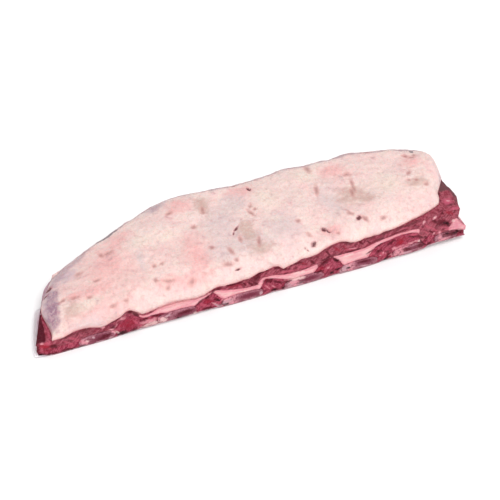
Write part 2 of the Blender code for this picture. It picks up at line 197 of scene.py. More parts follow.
FACE_MARKS = {
    "faded": ((128, 22, 35, 3.4, -1),),
    "crease": ((127, 21.7, 21, 1, 0),),
    "blush": ((137, 15.6, 11, 2.8, 4), (236, 18.6, 9, 1.2, -10), (308, 18, 9, 3.6, 0)),
    "brown": (
        (26, 16.8, 8, 1.1, 12), (42, 19.6, 9, 0.8, 4), (99.5, 7, 3, 1, 10), (109.4, 7.4, 2.4, 1.3, 0),
        (134, 6.4, 7, 2.2, 0), (200, 6.6, 9, 2, 0), (239, 9.4, 5, 1.8, -26), (262, 29.6, 6, 1.6, 0),
        (261, 6.8, 7, 1.8, 0), (300, 36.4, 7, 1.2, -20), (281, 36.6, 6, 1.2, 18),
        (340, 36.4, 12, 1.5, 2), (356, 37.6, 12, 1.5, 8), (374, 41.2, 10, 1.6, 20),
        (322, 34.6, 8, 1.8, 0), (330, 30, 7, 1.4, 8)),
    "plum": (
        (58, 6, 11, 5.2, 5), (69, 16, 4.5, 1.8, -20), (104, 4.4, 2.2, 0.9, 0), (138, 6.8, 12, 3.6, 2),
        (201, 6.8, 12.5, 3.2, -2), (261, 7, 11.5, 3.2, 0), (319, 8.2, 11, 3.2, -6),
        (370, 8.6, 6, 2.2, 0)),
    "lilac": (
        (57, 1.8, 7, 1.2, 0), (51.5, 8.6, 2.4, 1.4, -40), (68, 3, 3, 1.4, 0), (121, 9.6, 4, 1.8, 20),
        (167.6, 6, 2.8, 1.4, -38), (180, 7, 8, 4, 0), (202, 1.8, 9, 1.2, 0), (212, 5.4, 2.4, 2.6, 0),
        (224.4, 2.2, 3.4, 0.9, 0), (243, 7.2, 5, 4, 0), (250, 2.6, 8, 1.4, 0), (300, 7.6, 7, 4, 0),
        (318, 3.4, 9, 1.2, -8), (361, 5.2, 8.5, 1.6, 0), (171, 3, 4, 2, 0), (238, 2.2, 4.4, 2.4, 0),
        (295, 3.8, 4.4, 3, 0)),
    # Grey marks low on the cut faces; the fat's spots of the same name are painted shade.
    "grey_and_shade": (
        (40.5, 1.6, 5, 1.4, 0), (134, 3.4, 7, 1.3, 4), (176, 4.2, 5, 1.2, -6),
        (182.6, 7.8, 1.2, 1.2, 0), (252, 4.6, 4, 1, 10)),
    "red": (
        (9, 12, 8, 4.5, -8), (84, 13, 7.5, 7, -20), (85, 12, 4.5, 4, -30), (160, 12.6, 5, 3, -32),
        (186, 22.4, 7, 1.6, -6), (217, 18.6, 3, 1.6, 0), (254, 27, 5, 1.1, -35),
        (273, 14, 4.5, 2.6, 20), (288, 33, 6, 1.5, -50), (297, 31, 6, 1.3, -50),
        (356, 20.4, 6.6, 4.6, -6), (404, 41, 6, 1.8, -40), (409, 38, 4, 1.5, -50)),
    "scarlet": ((8.5, 13.6, 4.5, 2.4, -10), (356.4, 19.6, 3.4, 2.6, 0)),
    "maroon": (
        (15, 10.8, 4, 2.6, -20), (12, 2.6, 9, 1.3, -6), (1, 11, 1.6, 9, 0), (27, 2.2, 8, 1.4, 0),
        (61.5, 6.2, 6.5, 2.6, 12), (70, 20.4, 6.5, 1, 14), (79.5, 25.2, 5.4, 1, 38),
        (87, 26.2, 2.2, 2.6, -30), (91.5, 21, 1.8, 5, 34), (70, 13.4, 3.6, 1.9, -20),
        (88.5, 3.6, 4.2, 2.2, 15), (100, 12.8, 5.4, 1.8, 4), (110, 13, 5.4, 1.5, -16),
        (138, 8.8, 8.5, 1.8, 0), (152, 14.6, 5, 1.5, 36), (159.4, 18.2, 3.6, 1.5, 28),
        (164.4, 21.6, 3.6, 1.4, 52), (160, 4.2, 6, 2, -6), (168.4, 12.2, 3.6, 1.3, -34),
        (170, 24.4, 4.2, 1.6, -18), (185, 24.4, 9, 0.9, 0), (208, 26.6, 7, 3.6, 32),
        (202, 19.2, 4.2, 1.1, -50), (196, 21, 3.6, 0.9, -50), (207, 18.2, 3.6, 1, -46),
        (220, 17, 6, 2.6, -18), (229, 12.4, 6.4, 1.4, -36), (227, 29.8, 6, 2.2, -10),
        (237, 25.4, 5, 1.6, -8), (248, 28.4, 5.5, 1.8, 10), (264, 25, 5, 1.3, -50),
        (257, 19.6, 4, 0.9, 0), (277, 21.6, 6.5, 3.4, 50), (271, 11.4, 3.6, 1.3, 10),
        (288, 19.4, 8.5, 1.6, -46), (303, 25.2, 14, 0.9, 2), (279, 31, 5, 1.3, -55),
        (313, 32.5, 5, 1.3, -45), (321, 31, 4, 1.2, -45), (317, 9, 7, 1.6, -4),
        (324, 18.4, 4.4, 1.2, 24), (331, 22.6, 5.6, 1.1, 24), (333, 15.6, 3.2, 3.4, -40),
        (343.6, 8.4, 2.6, 4.6, 12), (345, 22.4, 5, 2.2, 18), (370, 21.6, 7, 1.4, -26),
        (376, 19.6, 6, 1.4, -30), (362, 9, 5.2, 2.4, -14), (378, 9, 5.4, 2.8, -10),
        (387, 7.6, 4.4, 2, 10), (402, 28.4, 9.5, 3.8, -30), (391, 33.6, 4.4, 1.6, -48),
        (388, 22.2, 4.2, 1, -48), (383, 16.6, 3.4, 1.6, -48), (413, 13, 14, 3.4, -4),
        (398, 41.4, 4, 1.2, -40), (423.2, 23.8, 9.5, 1.5, -54), (404, 18, 3, 1, 0),
        (352, 32.6, 14, 0.9, 10)),
    # The second rose mark, at the left end's front edge, is partly a painted highlight.
    "rose": (
        (4.4, 10, 1.6, 3.4, 0), (11, 15.6, 3.6, 2.2, -20), (37, 10, 8, 1.3, -38), (29, 9.4, 6, 1, -38),
        (91, 12, 1, 4.5, 28), (104, 12.6, 2, 1, 0), (156, 9.6, 4.5, 1.4, -32), (150, 8.6, 2.2, 2, 0),
        (192, 19, 3.6, 0.9, -46), (176, 21.4, 5, 0.8, -18), (217.8, 10.8, 5.4, 1.1, -50),
        (223.8, 9.4, 6.4, 1.2, -45), (221, 23.4, 7, 1, -12), (240, 22, 8, 1.3, -8),
        (254, 22.6, 8, 1.6, -14), (280.2, 12.2, 2.8, 2.4, 0), (276, 8.4, 2.4, 1, -40),
        (302, 28, 8.5, 1.2, -5), (325, 14.6, 4.4, 1.8, 12), (337, 11, 4.6, 2.4, -40),
        (368, 24.2, 4.6, 1, -16), (374, 23.2, 3.6, 0.7, -30), (360, 35.2, 5, 0.9, -14),
        (383, 30, 4.4, 0.8, -48), (387, 27.4, 4.8, 0.8, -48), (379, 27.2, 3.6, 0.7, -48),
        (392, 23.4, 4.4, 0.8, -48), (383, 22.4, 4, 0.8, -48), (386.6, 13, 1, 3.6, 24),
        (403, 22.6, 5, 1, -20), (407, 19.4, 4, 1.6, 0)),
    "pink": ((361, 13.8, 13, 1.9, 5), (418, 22, 7, 5, -40), (411, 19.5, 4.5, 1.6, -10)),
    # The first pale mark, on the left end's front edge, is a painted highlight.
    "pale": (
        (5, 18, 2.4, 1.3, -30), (43.6, 5.8, 4.6, 2.4, -35), (61, 16.8, 1.4, 2.4, 0),
        (79, 20.2, 2.6, 1.8, 10), (70.6, 8.6, 6.4, 1.4, -40), (105, 9, 10, 2.4, 0),
        (165.6, 8.4, 2.8, 1, -38), (178, 9.6, 5, 1.2, 0), (218.4, 10.2, 3.4, 0.6, -50),
        (224.2, 9, 4, 0.6, -45), (243, 7.4, 2.4, 2, 0), (280.4, 12.4, 1.5, 1.4, 0),
        (305, 28.2, 4, 0.6, -4), (337.6, 12.2, 1.2, 1.2, 0), (334.6, 10, 1, 0.9, 0),
        (340.4, 10.4, 0.9, 1.1, 0), (350, 13.4, 3.2, 1.6, -24), (369, 14.8, 6.6, 1.5, 8),
        (353, 8.6, 3.4, 2, -30), (379, 36, 1.7, 2.9, -12), (390.4, 38.2, 2.3, 1.7, 40),
        (391.6, 18.2, 1.2, 2.1, -20), (397.8, 17.6, 1.4, 2.7, 10), (402.6, 8.6, 6.4, 1.4, 8),
        (398.6, 12, 2, 2.6, 0), (350, 6, 4, 2.4, 0)),
    "white": (
        (45.4, 6.2, 1.6, 1.2, 0), (73.4, 6.2, 2.6, 1.2, -40), (106, 4.6, 10, 2.6, 0),
        (117, 6.6, 3.2, 3, 0), (147, 3.6, 1.6, 2, 0), (170, 19.4, 4, 1, -22), (193, 13.2, 9, 1, -6),
        (250, 16.4, 9, 1.6, -4), (248, 10.8, 9, 1.9, -8), (300, 21, 6, 1, 0), (376, 14.4, 2, 1.2, -24),
        (379, 36.4, 0.8, 1.5, -12), (390.4, 38.4, 1.1, 0.8, 40), (412, 28, 1.8, 1.8, -50)),
    "black": (
        (3.4, 5, 3.4, 1.8, -20), (78, 3.4, 5.6, 2.8, -4), (131, 4.2, 2, 0.8, 0),
        (170.6, 10.4, 1.7, 1.3, -30), (178.6, 4.4, 1.4, 0.8, 0), (226, 4.2, 3.2, 1.7, -10),
        (234, 3.6, 2.8, 1.6, 0), (287, 20.4, 4.6, 0.7, -46), (284.6, 5.4, 2.8, 1.6, -10),
        (290.6, 8, 3, 1.4, 25), (301.4, 6.2, 2.4, 1.2, -10), (341, 3.6, 3.2, 1.5, 20),
        (404, 27.6, 4.6, 1.4, -32), (417, 13, 6, 1.8, 0), (406.4, 14.6, 1.8, 1.2, 0)),
}
# Places along the seam between which it holds lean meat instead of fat.
LEAN = ((-20, 67), (74, 95), (269, 286), (375, 408))

# On the fat's upper face the middle is given by x and y from the middle of the slab's box.
SPOTS = {
    "blood": (
        (68, -51.5, 2.8, 2.1, -50), (71, -55.5, 1.8, 1.2, -60), (53, -62, 2.9, 1.9, 10),
        (103.5, -51.8, 3, 1.9, 42), (-185, -8.4, 2.6, 2.4, 30), (-6, -17.8, 3.6, 1.1, 38),
        (28, 34, 1.4, 3.6, 8), (-23, -63.6, 2.4, 0.6, 0), (45, -64.6, 2, 0.5, -35),
        (-10.5, -22.5, 2.6, 0.7, 60), (-190, -16, 2.6, 0.9, 10)),
    "stain": (
        (78, -60.8, 1.7, 1.7, 0), (52.5, -52, 1.7, 3, 30), (-36, -32.6, 2.6, 1.7, -30),
        (-130, 6, 1.8, 3.4, 12), (-124, 5, 4.5, 2.2, 0), (-156.5, -9, 3.2, 2.4, -20),
        (-145, -28, 3.4, 1.7, 6), (-170, -39, 4.6, 1.7, -4), (-179, -36.5, 2.8, 1.7, 30),
        (-157, -44, 2.2, 1.7, -10), (-85, -33.4, 1.9, 1.7, 0), (-92, -32.6, 1.7, 1.7, 0),
        (-96.6, -49, 1.7, 2.6, -10), (-86, -54, 4.2, 1.7, -16), (-89, -60, 2.2, 1.7, 0),
        (-66, -60.5, 3.4, 2.2, 20), (-140.5, -60.6, 2.6, 1.7, 0), (-128, -61, 2, 1.7, 0),
        (-30, -57, 4.5, 1.7, -12), (-21, -55.5, 1.8, 1.7, 0), (-40, 3.6, 2.8, 2.6, 0),
        (-54, 32, 3.2, 2.6, 0), (-24, 22, 1.7, 4.5, -14), (18.5, 8, 1.7, 3, -20),
        (21, 1.4, 1.7, 1.7, 0), (15.4, -3, 1.7, 5.4, 8), (-8, -33, 1.7, 3.6, -12),
        (-22, -45, 1.7, 5, 10), (6, -44, 1.7, 4.4, -20), (122, 11, 3, 3, 0), (92, 38, 2.4, 6.5, -6),
        (119, -8, 1.7, 9, -12), (114, -16, 1.7, 6, -18), (187, 14, 1.7, 3, 25),
        (190.5, 8.4, 3, 1.7, -20), (194.5, 10.6, 1.7, 2.4, -20), (176, -14, 3.8, 1.9, 45),
        (170.5, -24, 1.7, 1.7, 30), (177, -27.6, 1.7, 1.7, 40), (183.5, -35, 2.2, 1.7, 30),
        (109, -55, 1.8, 4.5, 20), (126, -58.4, 3.2, 1.7, 10), (50, -33, 2.6, 2, 0), (99, -43, 2, 3, 30),
        (158, 41, 5, 3.4, 35), (32, 52, 3.6, 2, 20), (18, 49, 2.4, 3, 0), (84, 0, 1.7, 6.5, -20)),
    # The last kind here is painted shade: dark grey lines along the fat's back and right edges.
    "grey_and_shade": ((-114.4, 35, 15, 2.2, 24.4), (197, 20, 2, 3.4, -10)),
}
# Zones fade away without an edge, and so do the marks of the same kinds on the cut faces.
ZONES = {
    "flush": ((-130, -20, 44, 44, 0), (-50, -30, 24, 30, 0), (-158, -58, 34, 12, 8)),
    "blush": (
        (-160, -66, 34, 8, 4), (-130, -12, 16, 26, -20), (-52, -38, 11, 26, -6), (-42, 38, 16, 17, 0),
        (-150, -40, 16, 8, 0), (-84, -54, 16, 8, 0), (-110, 20, 20, 12, 25), (188, 2, 12, 14, 0),
        (112, 24, 20, 14, 10), (-62, -60, 20, 6, 0), (75, -56, 14, 7, 0), (20, 34, 18, 14, 0),
        (-168, -36, 12, 5, 0)),
    "dull": (
        (-166, -67, 28, 7, 4), (-16, -6, 22, 34, -10), (0, -46, 28, 18, 0), (36, -34, 20, 26, 0),
        (-100, -18, 5, 22, -8), (8, 22, 14, 16, 0), (-30, -40, 14, 16, 0), (-60, 54, 26, 6, 18),
        (20, 53, 50, 5, 0), (120, 46, 50, 6, 0), (-172, 2, 10, 12, 30), (-112, 38, 22, 5, 27),
        (198, 26, 9, 9, 0), (206, -12, 4, 16, 0), (90, -20, 16, 26, 0)),
    "tan": (
        (2, -30, 9, 17, -8), (6, -52, 16, 9, 0), (122, -31, 9, 5, 0), (112, -20, 22, 18, 0),
        (-172, -52, 14, 10, 0), (176, -30, 14, 10, 0), (-22, 30, 10, 18, -10), (2, -20, 8, 8, 0)),
    "cream": (
        (-92, 4, 20, 12, 30), (-160, -50, 18, 8, 10), (36, 12, 18, 20, 0), (84, 30, 20, 20, 0),
        (150, -20, 20, 20, 0), (-68, 0, 14, 8, 0)),
    # The last three kinds are painted shade on the fat: greyer and lilac on its rounded left side, and
    # grey along its back and right edges.
    "veil": ((-166, -3, 14, 12, 0), (-197, -42, 5, 26, -12), (-188, -20, 8, 14, -20)),
    "grey_edge_shade": (
        (-187, -12, 5, 12, -30), (-173, 0, 7, 14, -50), (-160, 13, 11, 6, 32), (-190, -40, 4, 22, -10),
        (-152, 14, 16, 6, 35), (-62, 50, 12, 8, 20), (206, -25, 2.5, 9, -20)),
    "lilac": (
        (-187, -40, 4.5, 22, -12), (-182, -22, 3.5, 8, -20), (-193, -42, 4.5, 20, -12),
        (-188, -20, 3, 8, -20)),
}


def clamp(share):
    """Keep a share between 0 and 1."""
    return np.clip(share, 0.0, 1.0)


def smooth(share):
    """Return an S-shaped ramp from 0 to 1."""
    share = clamp(share)
    return share * share * (3.0 - 2.0 * share)


def rise(value, start, width):
    """Return a soft step: 0 up to its start, and 1 a width further on."""
    return smooth((value - start) / width)


def hump(value, middle, reach):
    """Return a bell curve, 1 in its middle."""
    return np.exp(-((value - middle) / reach) ** 2)


def wander(points, size, seed, octaves=2):
    """Return coherent noise, about -1 to 1, at points given in millimetres."""
    shift = Vector((seed * 17.3, seed * 5.9, seed * 11.1))
    return np.array([noise.fractal(Vector(point) / size + shift, 1.0, 2.0, octaves)
                     for point in points])


def curve(points, spread=1.6, waves=0.35, seed=1):
    """Return a function for the rounded, slightly wavy line through (x, z) points."""
    step, past_ends, half = 0.5, 30.0, 12
    grid = np.arange(-past_ends, LENGTH + past_ends, step)
    along, height = np.array(points, dtype=float).T
    heights = np.interp(grid, along, height)
    reach = np.arange(-half, half + 1) * step
    kernel = np.exp(-0.5 * (reach / spread) ** 2)
    heights = np.convolve(np.pad(heights, half, mode="edge"), kernel / kernel.sum(), mode="valid")
    places = np.stack([grid, np.zeros_like(grid), np.zeros_like(grid)], axis=1)
    heights = heights + waves * (wander(places, 4.0, seed) + 0.6 * wander(places, 1.6, seed + 9))
    return lambda place: np.interp(place, grid, heights)


def corner_fall(past, length, fall):
    """Return how far an elliptical corner has fallen off, past its start."""
    share = clamp(past / length)
    return fall * (1.0 - np.sqrt(1.0 - share ** 2))


def corner_inset(place):
    """Return how far the cap's front edge stands back at the right front corner."""
    return np.interp(place, *zip(*CAP_CORNER))


def cap_end(y):
    """Return the place where the cap ends on the right."""
    place, inset = zip(*CAP_CORNER)
    return np.interp(y, inset, place)


def ledge_width(y):
    """Return the width of the bare muscle at the left end."""
    width = CAP_FIRST + (LEDGE_NARROW - CAP_FIRST) * smooth(y / LEDGE_NARROW_AT)
    back = smooth((y - LEDGE_NARROW_AT) / (LEDGE_BACK_AT - LEDGE_NARROW_AT))
    return width + (LEDGE_BACK - LEDGE_NARROW) * back


def slab_depth(place):
    """Return the slab's depth, front to back, at a place along its length."""
    left = clamp(1.0 - place / LEFT_TAPER_REACH) ** LEFT_TAPER_POWER
    right = smooth((place - RIGHT_TAPER_START) / (LENGTH - RIGHT_TAPER_START))
    depth = WIDTH * (1.0 - LEFT_TAPER * left - RIGHT_TAPER * right)
    depth = depth - corner_fall(place - LENGTH + RIGHT_CORNER, RIGHT_CORNER, RIGHT_CORNER_DEPTH)
    depth = depth - corner_fall(LEFT_CORNER - place, LEFT_CORNER, LEFT_CORNER_DEPTH)
    for middle, size, reach in BULGES:
        depth = depth + size * hump(place, middle, reach)
    return depth


def shifted(place, y):
    """Return the place along, moved where an end changes its outline towards the back."""
    ledge = np.interp(place, [0.0, CAP_FIRST, LEDGE_NEXT], [0.0, 1.0, 0.0])
    step = np.interp(place, [CAP_LAST, LENGTH], [0.0, 1.0])
    notch = np.interp(place, NOTCH_PLACES, [0.0, 1.0, 1.0, 0.0])
    moved = place - (CAP_FIRST - ledge_width(y)) * ledge
    moved = moved - RIGHT_NOTCH * notch * (1.0 - smooth(y / RIGHT_NOTCH_REACH))
    return moved - RIGHT_STEP * step * smooth(y / RIGHT_STEP_REACH)


def across(place, y):
    """Return x for a place along the front face, followed back along its rib."""
    along = shifted(place, y)
    return along + (LEFT_SLANT + (RIGHT_SLANT - LEFT_SLANT) * along / LENGTH) * y


def thinned(height, y):
    """Let a height on the front cut face fall towards the back of the slab."""
    level = SKIN + RIB_THICKNESS
    return level + (height - level) * (1.0 - BACK_THINNING * (y / WIDTH) ** 2)


def make_ground():
    """Return the line of the slab's underside."""
    points = [(0.0, END_LIFT), (CAP_FIRST, 0.0)]
    for number, (centre, half, lift) in enumerate(BONES):
        if number:
            before, before_half, before_lift = BONES[number - 1]
            start, end = before + before_half, centre - half
            for share in (1 / 3, 2 / 3):
                points.append((start + share * (end - start), (before_lift + lift) / 2 + RECESS))
        points += [(centre - half, lift), (centre + half, lift)]
    points.append((LENGTH, BONES[-1][2]))
    return curve(points, 2.0, 0.0)


def bone_top(place):
    """Return the height of the bones' upper faces, or very low between them."""
    height = np.full_like(place, -99.0)
    for centre, half, lift in BONES:
        share = clamp(np.abs((place - centre) / half))
        bone = RIB_THICKNESS / 2 * (1.0 + (1.0 - share ** RIB_POWER) ** (1.0 / RIB_POWER))
        height = np.where(share < 1.0, np.maximum(height, SKIN + lift + bone), height)
    return height


def bone_section(angle):
    """Return where a bone's outline passes at an angle, in halves of its width and height."""
    right, up = np.cos(angle), np.sin(angle)
    power = 2.0 / RIB_POWER
    return np.sign(right) * np.abs(right) ** power, np.sign(up) * np.abs(up) ** power


def make_seam_foot():
    """Return the line of the seam's underside on the front cut face."""
    points = []
    for number, crests in enumerate(MEAT_CRESTS):
        points += crests
        if number < len(RIBS):
            centre, half = RIBS[number][:2]
            for share in np.linspace(*RIBS[number][3:], 7):
                place = centre + share * half
                points.append((place, float(bone_top(np.array([place]))[0])))
    return curve(points, 1.2, 0.25, 2)


GROUND = make_ground()
SEAM_FOOT = make_seam_foot()
SEAM_CREST = curve(SEAM_TOP, 1.4, 0.4, 3)
SEAT_LINE = curve(FAT_SEAT, 1.3, 0.7, 4)


def seam_low(place, y):
    """Return the underside of the seam of fat."""
    return np.maximum(thinned(SEAM_FOOT(shifted(place, y)), y), bone_top(place))


def seam_high(place, y):
    """Return the upper face of the seam of fat."""
    return np.maximum(thinned(SEAM_CREST(shifted(place, y)), y), seam_low(place, y) + THINNEST_SEAM)


def seat(place, y):
    """Return the upper face of the outer muscle, on which the cap of fat sits."""
    along = shifted(place, y)
    front = SEAT_LINE(along)
    deep = SEAT_LEFT + (SEAT_RIGHT - SEAT_LEFT) * along / LENGTH
    height = thinned(front + (deep - front) * smooth(y / EVEN_OUT), y)
    return np.maximum(height, seam_high(place, y) + THINNEST)


def rounded(distance, radius):
    """Return how far a rounded edge has risen, 0 at the edge and 1 past its radius."""
    share = clamp(distance / radius)
    return (1.0 - (1.0 - share) ** EDGE_POWER) ** (1.0 / EDGE_POWER)


def cap_top(place, y):
    """Return the upper face of the fat cap, a lumpy crown that falls to its edges."""
    along = shifted(place, y)
    x = across(place, y)
    depth, front = slab_depth(along), corner_inset(along)
    share = (y - front) / (depth - front)
    lip = FRONT_LIP + (BACK_LIP - FRONT_LIP) * share
    crest = CREST_LEFT + (CREST_RIGHT - CREST_LEFT) * (along / LENGTH) ** CREST_GROWTH
    crest = crest * (1.0 - CROSS_FALL * ((share - CROWN) / (1.0 - CROWN)) ** 2)
    edges = rounded(y - front, FRONT_ROUND) * rounded(depth - y, BACK_ROUND)
    edges = edges * rounded(along - ledge_width(y), LEFT_ROUND)
    edges = edges * rounded(cap_end(y) - along, RIGHT_ROUND)
    # Waves of several lengths cross, so that no lump repeats.
    lumps = np.sin(x / 11.0 + 1.3) * np.sin(y / 9.0 + x / 31.0)
    lumps = lumps + 0.7 * np.sin(x / 23.0 - y / 17.0)
    base = seat(place, y) + lip
    return base + (crest - base + LUMP * lumps) * edges


# ---------------------------------------------------------------------------
# Meshes.

def rows_behind(back, count, front=0.0):
    """Return y of each row at each place: close behind the cut faces, even between."""
    near = np.array(BEHIND)[:, None]
    front = front + np.zeros_like(back)
    start, end = front + near[-1], back - near[-1]
    share = np.linspace(0.0, 1.0, count + 2)[1:-1, None]
    return np.vstack([front + near, start + share * (end - start), back - near[::-1]])


def inside(points, outline):
    """Tell which points lie inside a closed outline."""
    x, z = points[:, 0:1], points[:, 1:2]
    x0, z0 = outline.T
    x1, z1 = np.roll(outline, -1, axis=0).T
    crosses = (z0 > z) != (z1 > z)
    climb = np.where(z1 == z0, 1.0, z1 - z0)
    hits = crosses & (x < x0 + (z - z0) / climb * (x1 - x0))
    return hits.sum(axis=1) % 2 == 1


def edge_distance(points, outline):
    """Return each point's distance to a closed outline."""
    nearest = np.full(len(points), np.inf)
    ends = np.roll(outline, -1, axis=0)
    for start, end in zip(outline, ends):
        run = end - start
        length = max(float(run @ run), 1e-9)
        share = clamp((points - start) @ run / length)[:, None]
        nearest = np.minimum(nearest, np.linalg.norm(points - start - share * run, axis=1))
    return nearest


def face_mesh(outline, spacing):
    """Fill a closed (x, z) outline with a fine mesh: new points and triangles."""
    low, high = outline.min(axis=0), outline.max(axis=0)
    columns = np.arange(low[0], high[0], spacing)
    levels = np.arange(low[1], high[1], spacing * TRIANGLE_HEIGHT)
    grid = np.stack(np.meshgrid(columns, levels), axis=-1)
    grid[1::2, :, 0] += spacing / 2
    points = grid.reshape(-1, 2)
    points = points[inside(points, outline)]
    distance = edge_distance(points, outline)
    keep = distance > spacing * CLEARANCE
    points, distance = points[keep], distance[keep]
    corners = [Vector(point) for point in np.vstack([outline, points])]
    _v, _e, faces, sources, _s, _f = delaunay_2d_cdt(
        corners, [], [list(range(len(outline)))], 1, 1e-7)
    known = [source[0] if source else -1 for source in sources]
    triangles = [tuple(known[corner] for corner in face) for face in faces]
    return points, distance, [face for face in triangles if -1 not in face]


class Shape:
    """A closed form: rings of points from front to back, with finely meshed cut faces."""

    def __init__(self, place, y, z, x=None):
        self.rows, self.count = y.shape
        x = across(np.broadcast_to(place, y.shape), y) if x is None else x
        self.points = np.stack([x, y, z], axis=-1).reshape(-1, 3)
        self.places = self.per_point(place)
        self.cut = np.zeros(len(self.points))
        self.rim = np.zeros(len(self.points))
        self.faces = []
        for row in range(self.rows - 1):
            near, far = row * self.count, (row + 1) * self.count
            for here in range(self.count):
                there = (here + 1) % self.count
                self.faces.append((near + here, near + there, far + there, far + here))

    def per_point(self, values):
        """Return values that are given for one ring, repeated for every ring."""
        return np.tile(values, self.rows)

    def close(self, sizes, seed, drawn_out=1.0, strength=1.0, spacing=None, roll=None):
        """Mesh both cut faces finely, with a rounded edge and a roughness drawn out along x."""
        spacing = spacing or sizes.mesh_step / MM
        roll = roll or sizes.edge_roll / MM
        height = sizes.cut_relief / MM * strength
        for row, side in ((0, -1.0), (self.rows - 1, 1.0)):
            names = list(range(row * self.count, (row + 1) * self.count))
            ring, along = self.points[names], self.places[names]
            flat, distance, triangles = face_mesh(ring[:, [0, 2]], spacing)
            order = np.argsort(ring[:, 0])
            y = np.interp(flat[:, 0], ring[order, 0], ring[order, 1])
            place = np.interp(flat[:, 0], ring[order, 0], along[order])
            fresh = np.stack([flat[:, 0], y, flat[:, 1]], axis=1)
            swell = roll * (1.0 - (1.0 - clamp(distance / ROLL_WIDTH)) ** 2)
            coarse = wander(fresh / np.array([drawn_out, 1.0, 1.0]), RELIEF_SIZE, seed, 3)
            fresh[:, 1] += side * (swell + height * clamp(distance) * coarse)
            names += list(range(len(self.points), len(self.points) + len(fresh)))
            self.points = np.vstack([self.points, fresh])
            self.places = np.concatenate([self.places, place])
            self.cut = np.concatenate([self.cut, np.ones(len(fresh))])
            self.rim = np.concatenate([self.rim, distance])
            self.faces += [tuple(names[corner] for corner in face) for face in triangles]

    def build(self, name, material, slot, node, fields):
        """Make the object, with a vertex attribute for each named field."""
        points = np.clip(self.points + CORNER, LOW, HIGH) * MM
        mesh = bpy.data.meshes.new(name)
        mesh.from_pydata(points.tolist(), [], self.faces)
        form = bmesh.new()
        form.from_mesh(mesh)
        bmesh.ops.recalc_face_normals(form, faces=form.faces)
        form.to_mesh(mesh)
        form.free()
        mesh.shade_smooth()
        for field, values in fields.items():
            layer = mesh.attributes.new(field, "FLOAT", "POINT")
            layer.data.foreach_set("value", np.asarray(values, dtype=np.float32))
        mesh.materials.append(material)
        piece = bpy.data.objects.new(name, mesh)
        bpy.context.scene.collection.objects.link(piece)
        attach(piece, "root")
        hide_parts(node)
        return piece


def band(last, sides):
    """Return a closed run of places, and the share from the low face to the high one."""
    count = int(round(last / COLUMN_STEP)) + 1
    places = np.linspace(0.0, last, count)
    steps = np.linspace(0.0, 1.0, sides + 2)[1:-1]
    place = np.concatenate([places, np.full(sides, last), places[::-1], np.zeros(sides)])
    share = np.concatenate([np.zeros(count), steps, np.ones(count), steps[::-1]])
    return place, share


def layer(last, sides, rows, bottom, top):
    """Return the shape between two faces of the slab, and its share from low to high."""
    place, share = band(last, sides)
    y = rows_behind(slab_depth(place), rows)
    low, high = bottom(place, y) + GAP, top(place, y) - GAP
    shape = Shape(place, y, low + share * (high - low))
    return shape, shape.per_point(share)


def marks(table, first, second):
    """Return a field for each kind of mark: 1 in the middle of a mark, less towards its edge."""
    fields = {}
    for kind, places in table.items():
        field = np.zeros(len(first))
        for x, y, half_length, half_width, turn in places:
            cos, sin = math.cos(math.radians(turn)), math.sin(math.radians(turn))
            right, up = first - x, second - y
            reach = np.hypot((right * cos + up * sin) / half_length,
                             (up * cos - right * sin) / half_width)
            if kind in ZONES:
                field = 1.0 - (1.0 - field) * (1.0 - np.exp(-1.2 * reach ** 2))
            else:
                field = np.maximum(field, clamp(1.0 - reach / 2.0))
        fields[kind] = field
    return fields


def face_fields(shape):
    """Return the marks on a shape's cut faces, how far in each point lies, and the lean parts."""
    y = shape.points[:, 1]
    near = clamp(1.0 - y / MARKS_DEPTH) + (y > BACK_BEYOND) * shape.cut
    fields = marks(FACE_MARKS, shape.places, shape.points[:, 2])
    fields = {kind: field * near for kind, field in fields.items()}
    lean = np.zeros(len(shape.places))
    for first, last in LEAN:
        inner = np.minimum(shape.places - first, last - shape.places)
        lean = np.maximum(lean, smooth(inner / LEAN_FADE + 0.5))
    fields.update(rim=shape.rim, cut=shape.cut, lean=lean)
    return fields


# ---------------------------------------------------------------------------
# Materials.

DIMMING = 0.80             # from a colour as it should look to one under this stage's light
# How far red, green and blue light go into fat, meat and thin skin, as shares.
FATTY, MEATY, EVEN = (1.0, 0.4, 0.3), (1.0, 0.3, 0.2), (1.0, 0.9, 0.95)

# Marks on the cut faces, from the lowest layer up: colour and strength.
FACE_COLOURS = (
    ("faded", (238, 168, 170), 0.9), ("crease", (196, 118, 120), 0.6),
    ("blush", (242, 150, 164), 0.45), ("brown", (112, 44, 54), 0.75), ("plum", (122, 42, 66), 0.85),
    ("lilac", (212, 166, 176), 0.85), ("grey_and_shade", (122, 96, 102), 0.85), ("red", (158, 16, 46), 0.65),
    ("scarlet", (180, 34, 54), 0.65), ("maroon", (94, 0, 28), 0.9), ("rose", (204, 92, 114), 0.75),
    ("pink", (230, 138, 156), 0.85), ("pale", (238, 158, 170), 0.85),
    ("white", (250, 208, 206), 0.8), ("black", (46, 0, 14), 0.95),
)


def srgb(red, green, blue):
    """Return the linear colour of a surface that looks like one given as 0 to 255."""
    return tuple(((value / 255 + 0.055) / 1.055) ** 2.4 * DIMMING for value in (red, green, blue))


class Value:
    """One output of a node.  Arithmetic on it adds Math nodes."""

    def __init__(self, paint, socket):
        self.paint = paint
        self.socket = socket

    def math(self, operation, first, second):
        """Add a Math node and return its output."""
        return self.paint.node("ShaderNodeMath", {"operation": operation}, {0: first, 1: second})

    def __add__(self, other):
        return self.math("ADD", self, other)

    def __radd__(self, other):
        return self.math("ADD", other, self)

    def __sub__(self, other):
        return self.math("SUBTRACT", self, other)

    def __rsub__(self, other):
        return self.math("SUBTRACT", other, self)

    def __mul__(self, other):
        return self.math("MULTIPLY", self, other)

    def __rmul__(self, other):
        return self.math("MULTIPLY", other, self)


